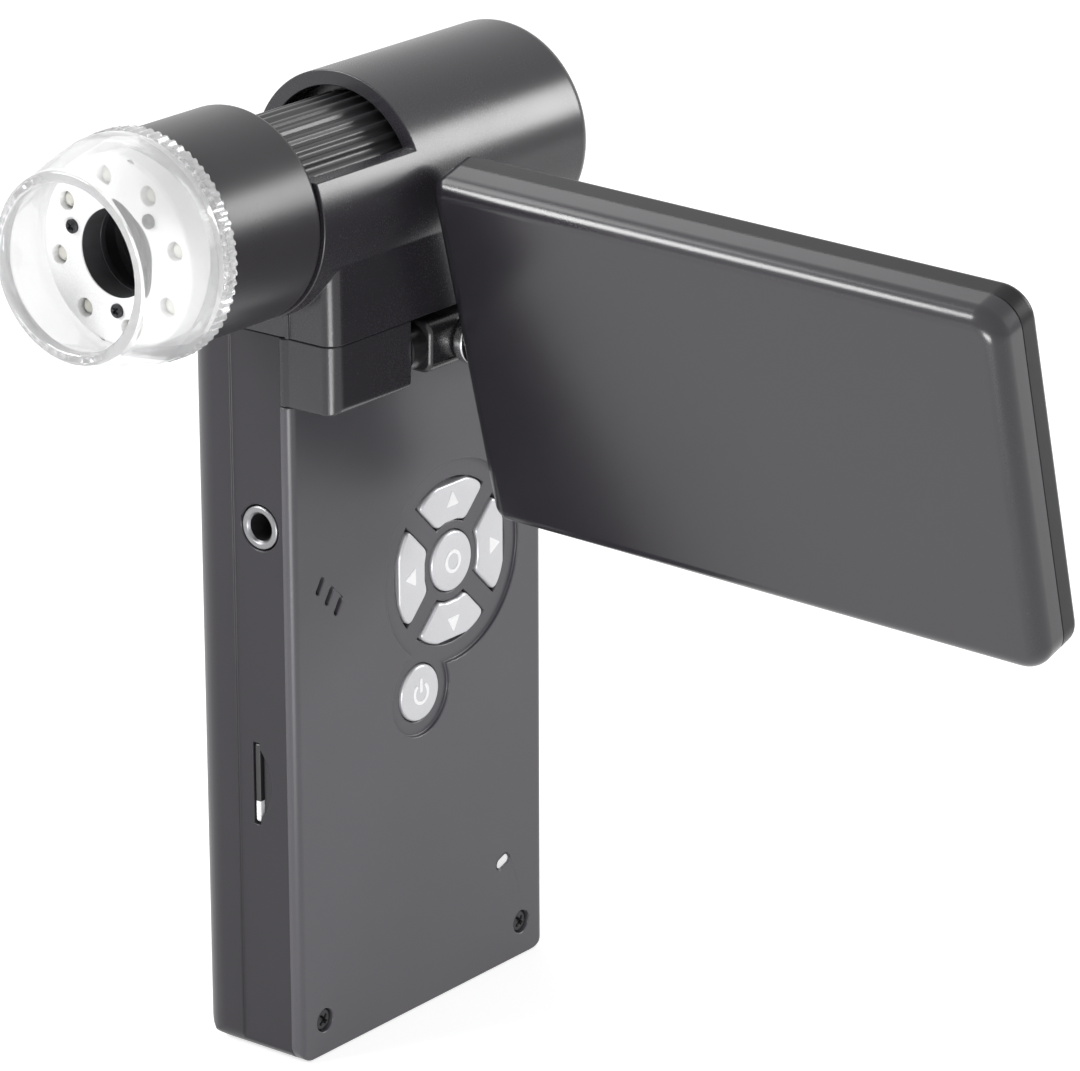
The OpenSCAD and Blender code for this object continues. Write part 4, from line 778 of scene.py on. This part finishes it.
chip, chip_tree = new_material("picture_chip")
chip_rows = add(chip_tree, "TexBrick", {
    "Vector": add(chip_tree, "TexCoord").outputs["Object"], "Scale": 2600.0,
    "Color1": (0.05, 0.06, 0.09, 1), "Color2": (0.06, 0.07, 0.10, 1), "Mortar": (0.09, 0.09, 0.10, 1)})
chip_shader = add(chip_tree, "BsdfPrincipled", {"Base Color": chip_rows.outputs["Color"], "Roughness": 0.12})
finished(chip, chip_shader)
finish_nodes(chip, "image_sensor")
finish_nodes(board_green, "sensor_board")

# ---- Lamp ring ----
# Eight clear-domed lamps on a white ring board. A white cup snaps over them, its collar lining the
# mouth of the bore, and three small black screws hold it; the inside of its bore is painted shade.
lamp_axis_r = 9.4
lamp_start = 11
lamp_count = 8
lamp_x = (-50.2, -48.8)
lamp_dome = 0.75
lamp_r = 1.0
cup_screw_x = -51.1
cup_screw_ring = 7.2
cup_screw_angles = (42, 162, -89)
cup_screw = (0.9, 0.5, 0.5, 4.6)
# painted shade: within this radius of the barrel's axis and past this depth, the cup's white is painted dark
painted_shade_reach = 0.0064
painted_shade_start_x = -0.0504


def ring_place(x, r, degrees):
    """A point round the barrel's axis: 0 is the keypad side and 90 the top."""
    a = radians(degrees)
    return np.array([x, barrel_axis[1] - r * cos(a), barrel_axis[2] + r * sin(a)])


def lamp_sheet(centre):
    """A lamp: a half-round dome on a short straight side, about an axis through its centre."""
    share = np.linspace(0, pi / 2, 9)
    along = np.concatenate([lamp_x[0] + lamp_dome * (1 - np.cos(share)), [lamp_x[1], lamp_x[1]]])
    radius = np.concatenate([lamp_r * np.sin(share), [lamp_r, 0]])
    return spun(along, radius, centre, "x", 28), False


lamp_places = [ring_place(0, lamp_axis_r, lamp_start + i * 360 / lamp_count) for i in range(lamp_count)]
lamp_domes = solid("lamp_domes", [lamp_sheet(place) for place in lamp_places])
lamp_resin = grained_finish(new_material("lamp_resin"), (0.93, 0.92, 0.84), (3000.0, 0.15, 0.05),
                            {"Transmission Weight": 0.3})
dress(lamp_domes, "handle", lamp_resin, "lamp_resin", "leds")
board_white = moulded("board_white", (0.82, 0.82, 0.81), 0.38, grain=3500.0, wear=0.0)
finish_nodes(board_white, "led_board")
cup_white, cup_tree = new_material("cup_white")
cup_place = add(cup_tree, "TexCoord").outputs["Object"]
cup_flat = add(cup_tree, "VectorMath", {0: cup_place, 1: (0, 1, 1)}, operation="MULTIPLY").outputs[0]
cup_centre = (0, barrel_axis[1] * mm, barrel_axis[2] * mm)
cup_reach = add(cup_tree, "VectorMath", {0: cup_flat, 1: cup_centre}, operation="DISTANCE").outputs["Value"]
cup_depth = add(cup_tree, "SeparateXYZ", {0: cup_place}).outputs["X"]
# painted shade: the cup's bore past its mouth takes the dark bore colour, for the shade inside the hole
in_bore = math(cup_tree, "LESS_THAN", cup_reach, painted_shade_reach)
past_mouth = math(cup_tree, "GREATER_THAN", cup_depth, painted_shade_start_x)
painted_bore_shade = math(cup_tree, "MULTIPLY", in_bore, past_mouth)
cup_colour = blend_colour(cup_tree, painted_bore_shade, (0.90, 0.90, 0.90), bore_colour)
grained_finish((cup_white, cup_tree), cup_colour, (3500.0, 0.38, 0.08), {"Specular IOR Level": 0.3})
dress_eased("led_reflector", "lamp_cup", 0.08, "handle", cup_white, "white_plastic")
cup_screws = [screw_grid(ring_place(cup_screw_x, cup_screw_ring, degrees), (-1, 0, 0), cup_screw)
              for degrees in cup_screw_angles]
dress(solid("cup_screw_set", cup_screws), "handle", black_steel, "black_steel", "reflector_screws")

# ---- Clear cap ----
# A milky clear acrylic cap that spaces the object from the lens. It grips the lamp cup by a light
# fit, and the toothed ring at its back gives the fingers a hold.
cap_ring_x = (-47.2, -44.8)
cap_ring_r = 14.6
cap_tooth = 0.35
cap_teeth = 72
cap_body_r = 14.4
cap_bore_r = 11.85
cap_straight_x = -49.3
cap_rim_x = (-58.0, -59.1)
cap_rim_r = 12.0
cap_wall = 1.5


def cap_sheet():
    """The cap's closed section turned about the barrel's axis. The taper's radius falls from the
    body to the rim by four fifths of the way plus a fifth of its square. On the ring the radius
    drops between the teeth by a steepened cosine."""
    turns = cap_teeth * 8
    angle = np.linspace(0, 2 * pi, turns, endpoint=False)
    groove = cap_tooth * np.clip(0.5 - 0.8 * np.cos(cap_teeth * angle), 0, 1)
    way = np.linspace(0, 1, 17)
    taper_x = cap_straight_x + (cap_rim_x[0] - cap_straight_x) * way
    taper_r = cap_body_r + (cap_rim_r - cap_body_r) * (0.8 * way + 0.2 * way ** 2)
    ring = rounded_path([(cap_ring_x[1], cap_bore_r), (cap_ring_x[1], cap_ring_r),
                         (cap_ring_x[0], cap_ring_r), (cap_ring_x[0], cap_body_r)], [0.3, 0.3, 0.3, 0], 3)
    rim_bore_r = cap_rim_r - cap_wall
    rim = rounded_path([(cap_rim_x[0], cap_rim_r), (cap_rim_x[1], cap_rim_r), (cap_rim_x[1], rim_bore_r),
                        (cap_rim_x[0], rim_bore_r)], [0, 0.5, 0.5, 0], 5)
    outside = np.stack([taper_x, taper_r], -1)
    inside = np.stack([taper_x, taper_r - cap_wall], -1)[::-1]
    step = np.array([(cap_ring_x[0] - 0.05, cap_body_r - cap_wall), (cap_ring_x[0], cap_bore_r)])
    path = np.concatenate([ring, outside, rim[1:-1], inside, step])
    on_ring = np.zeros(len(path))
    on_ring[:len(ring) - 1] = np.clip((ring[:-1, 1] - cap_ring_r + 0.5) / 0.5, 0, 1)
    return spun(path[:, 0], path[:, 1:] - on_ring[:, None] * groove, barrel_axis, "x", turns), True


acrylic = grained_finish(new_material("milky_acrylic"), (0.995, 0.995, 1.0), (2200.0, 0.07, 0.05),
                         {"Transmission Weight": 0.80, "IOR": 1.49}, (0.2, 0.00001))
dress(solid("clear_spacer_cap", [cap_sheet()]), "cap", acrylic, "clear_plastic", "clear_cap")

# ---- Rear cap ----
# A dished disc of the shell's plastic that closes the barrel behind the picture chip. Its edge
# clicks behind a groove in the bore.
dress_eased("rear_cap", "barrel_end_disc", 0.15, "handle", barrel_plastic, "body_plastic")

# ---- Hinge ----
# A black knuckle folds between the cheeks on two steel pins with a friction washer on each side,
# and the screen's hollow shaft turns in it behind a collar, with a clip at its end.
fold_axis = Vector((0, -13.5, 94.5))
screen_droop = 1.41
screen_tilt = -16.5
collar_y = (-3.5, -5.1)
collar_r = 3.2
shaft_y = (3.3, -8.2)
shaft_r = 1.86
shaft_hollow_r = 1.1

in_fold = Matrix.Translation(fold_axis * mm) @ Matrix.Rotation(radians(screen_droop), 4, "X")
in_screen = in_fold @ Matrix.Rotation(radians(screen_tilt), 4, "Y")
shaft_section = rounded_path([(shaft_y[0], shaft_hollow_r), (shaft_y[0], shaft_r), (collar_y[0], shaft_r),
                              (collar_y[0], collar_r), (collar_y[1], collar_r), (collar_y[1], shaft_r),
                              (shaft_y[1], shaft_r), (shaft_y[1], shaft_hollow_r)],
                             [0.1, 0.25, 0, 0.45, 0.3, 0, 0.1, 0.1])
shaft = spun(shaft_section[:, 0], shaft_section[:, 1], (0, 0, 0), "y", 72)
knuckle_plastic = moulded("knuckle_plastic", (0.020, 0.019, 0.021), 0.28, wear=0.3)
washer_black = brushed("washer_black", (0.10, 0.10, 0.105), 0.34, "Y")
shaft_steel = brushed("shaft_steel", (0.55, 0.55, 0.56), 0.26, "Y")
dress_eased("hinge_knuckle", "fold_knuckle", 0.45, "knuckle", knuckle_plastic, "black_plastic")
dress(solid("screen_shaft", [(shaft, True)], in_screen), "screen", shaft_steel, "steel", "swivel_shaft")
finish_nodes(washer_black, "friction_washers")
finish_nodes(bright_steel, "fold_pins", "swivel_clip")

# ---- Screen ----
# Two shells clipped edge to edge: a rounded back in satin grey and a flat dark front round the
# picture glass, held by four black screws. Inside are the picture panel, its light and its board.
panel_low = (-90.3, -25.65)
panel_high = (-5.1, 25.65)
panel_corners = (4.0, 2.5, 2.5, 4.0)
panel_half_t = 4.02
panel_wall = 1.5
back_round = 2.5
face_round = 1.0
split_x = 0.78
seam_ease = 0.12
picture_low = (-82.5, -23.25)
picture_high = (-20.5, 23.25)
picture_corners = (0.5,) * 4
glass_lap = 0.75
glass_seat_x = 3.12
inner_face_x = 2.52
screen_screw_places = ((-8.5, 20.05), (-8.5, -20.05), (-86.9, 22.05), (-86.9, -22.05))
screen_head_x = 3.92
screen_seat_x = 3.22
screen_screw = (1.3, 0.7, 0.8, 6.04)
post_r = 1.8
post_bore_r = 0.95
head_bore_r = 1.4
head_bore_top_x = 4.5
thread_bore_r = 0.82
thread_bore_top_x = 1.5
shaft_hole_y = (-7.5, -4.0)
shaft_gap = 0.1


def level(low, high, corners, inset, x, steps=8):
    """One closed outline at height x: a rectangle drawn inwards, each corner a quarter circle whose
    radius is the corner's less the inset, down to a plain corner."""
    low = np.array(low) + inset
    high = np.array(high) - inset
    sweep = np.radians(np.linspace(0, 90, steps + 1))
    parts = []
    for i, corner in enumerate(corners):
        r = max(corner - inset, 0)
        side = np.array([1 if i in (0, 3) else -1, 1 if i in (0, 1) else -1])
        centre = np.where(side > 0, low, high) + r * side
        a = sweep + radians((180, 270, 0, 90)[i])
        parts.append(centre + r * np.stack([np.cos(a), np.sin(a)], -1))
    outline = np.concatenate(parts)
    return np.concatenate([np.full((len(outline), 1), float(x)), outline], 1)


def panel(inset, x):
    """The screen's outline, drawn inwards, at height x."""
    return level(panel_low, panel_high, panel_corners, inset, x)


def picture(grow, x):
    """The picture opening's outline, drawn outwards, at height x."""
    return level(picture_low, picture_high, picture_corners, -grow, x)


def rod_sheet(place, x0, x1, r, turns=32):
    """A round rod along X at a screw's place."""
    return spun([x0, x0, x1, x1], [0, r, r, 0], (0, *place), "x", turns), False


def round_rows(inset, x, r, way, sweep):
    """The screen's outlines round a quarter circle of radius r. Its far end lies r further in at
    height x, and its near end at the inset, r above it with way 1 or below it with way -1."""
    return [panel(inset + r * (1 - sin(a)), x + way * r * (1 - cos(a))) for a in sweep]


def back_sheets():
    """The back shell: the outlines follow a quarter circle round the edge, the side down to the
    seam, the rim, and the inside at the wall's thickness back to the middle."""
    middle = panel_high[1]
    sweep = np.linspace(0, pi / 2, 9)
    low = -panel_half_t
    rows = [panel(middle, low)] + round_rows(0, low, back_round, 1, sweep)
    rows += [panel(0, split_x - seam_ease), panel(seam_ease, split_x), panel(panel_wall, split_x)]
    rows += round_rows(panel_wall, low + panel_wall, back_round - panel_wall, 1, sweep[::-2])
    rows.append(panel(middle, low + panel_wall))
    posts = [rod_sheet(place, low + panel_wall / 2, split_x, post_r) for place in screen_screw_places]
    return [(np.stack(rows), False)] + posts


def front_sheets():
    """The front shell as one ring: the seam's ease, the side, the face's quarter round, the face to
    the picture opening, the glass's seat, the opening's edge, and back under the face and up the
    inside of the wall."""
    rows = [panel(seam_ease, split_x), panel(0, split_x + seam_ease)]
    rows += round_rows(0, panel_half_t, face_round, -1, np.linspace(pi / 2, 0, 6))
    rows += [picture(glass_lap + 0.15, panel_half_t), picture(glass_lap, panel_half_t - 0.12),
             picture(glass_lap, glass_seat_x), picture(0, glass_seat_x), picture(0, inner_face_x),
             panel(panel_wall, inner_face_x), panel(panel_wall, split_x)]
    posts = [rod_sheet(place, split_x, inner_face_x + 0.1, post_r) for place in screen_screw_places]
    return [(np.stack(rows), True)] + posts


def cut(piece, cutter):
    """Takes the cutter's solid out of the piece, and drops the cutter."""
    piece.modifiers.clear()
    difference = piece.modifiers.new("holes", "BOOLEAN")
    difference.operation = "DIFFERENCE"
    difference.solver = "EXACT"
    difference.use_self = True
    difference.object = cutter
    whole = piece.evaluated_get(bpy.context.evaluated_depsgraph_get())
    mesh = bpy.data.meshes.new_from_object(whole)
    mesh.name = piece.name
    piece.modifiers.clear()
    piece.data = mesh
    bpy.data.objects.remove(cutter)
    return shade(piece)


def glass_sheet():
    """The picture glass: a flat plate whose upper edge is ground round."""
    top = panel_half_t - 0.1
    grow = glass_lap - 0.05
    half = picture_high[1] + grow
    rows = [picture(grow - half, top), picture(grow - 0.2, top), picture(grow - 0.06, top - 0.05),
            picture(grow, top - 0.2), picture(grow, glass_seat_x), picture(grow - half, glass_seat_x)]
    return np.stack(rows), False


hole_r = shaft_r + shaft_gap
shaft_hole = [(spun(np.repeat(shaft_hole_y, 2), [0, hole_r, hole_r, 0], (0, 0, 0), "y", 48), False)]
head_holes = [(spun(np.repeat((0.0, screen_seat_x, head_bore_top_x), 2),
                    [0, post_bore_r, post_bore_r, head_bore_r, head_bore_r, 0], (0, *place), "x", 36), False)
              for place in screen_screw_places]
thread_holes = [rod_sheet(place, -panel_half_t + panel_wall + 0.2, thread_bore_top_x, thread_bore_r, 36)
                for place in screen_screw_places]
screen_plastic = moulded("screen_plastic", (0.020, 0.018, 0.023), 0.22, specular=0.65)
bezel_plastic = moulded("bezel_plastic", (0.020, 0.020, 0.022), 0.34, specular=0.2)
screen_back = cut(solid("screen_back_shell", back_sheets(), in_screen),
                  solid("back_holes", shaft_hole + thread_holes, in_screen))
dress(screen_back, "screen", screen_plastic, "screen_plastic", "screen_back")
screen_front = cut(solid("screen_front_shell", front_sheets(), in_screen),
                   solid("front_holes", shaft_hole + head_holes, in_screen))
dress(screen_front, "screen", bezel_plastic, "bezel_plastic", "screen_bezel")

smoked = grained_finish(new_material("smoked_glass"), (0.012, 0.012, 0.015), (800.0, 0.06, 0.04),
                        {"Coat Weight": 0.5, "Coat Roughness": 0.03})
dress(solid("picture_glass", [glass_sheet()], in_screen), "screen", smoked, "window_plastic", "screen_window")
screen_screws = solid("screen_screw_set", [screw_grid((screen_head_x, *place), (1, 0, 0), screen_screw)
                                           for place in screen_screw_places], in_screen)
dress(screen_screws, "screen", black_steel, "black_steel", "screen_screws")
finish_nodes(chip, "lcd_panel")
finish_nodes(board_white, "backlight")
finish_nodes(board_green, "screen_board")
finish_nodes(bright_steel, "shaft_plate")
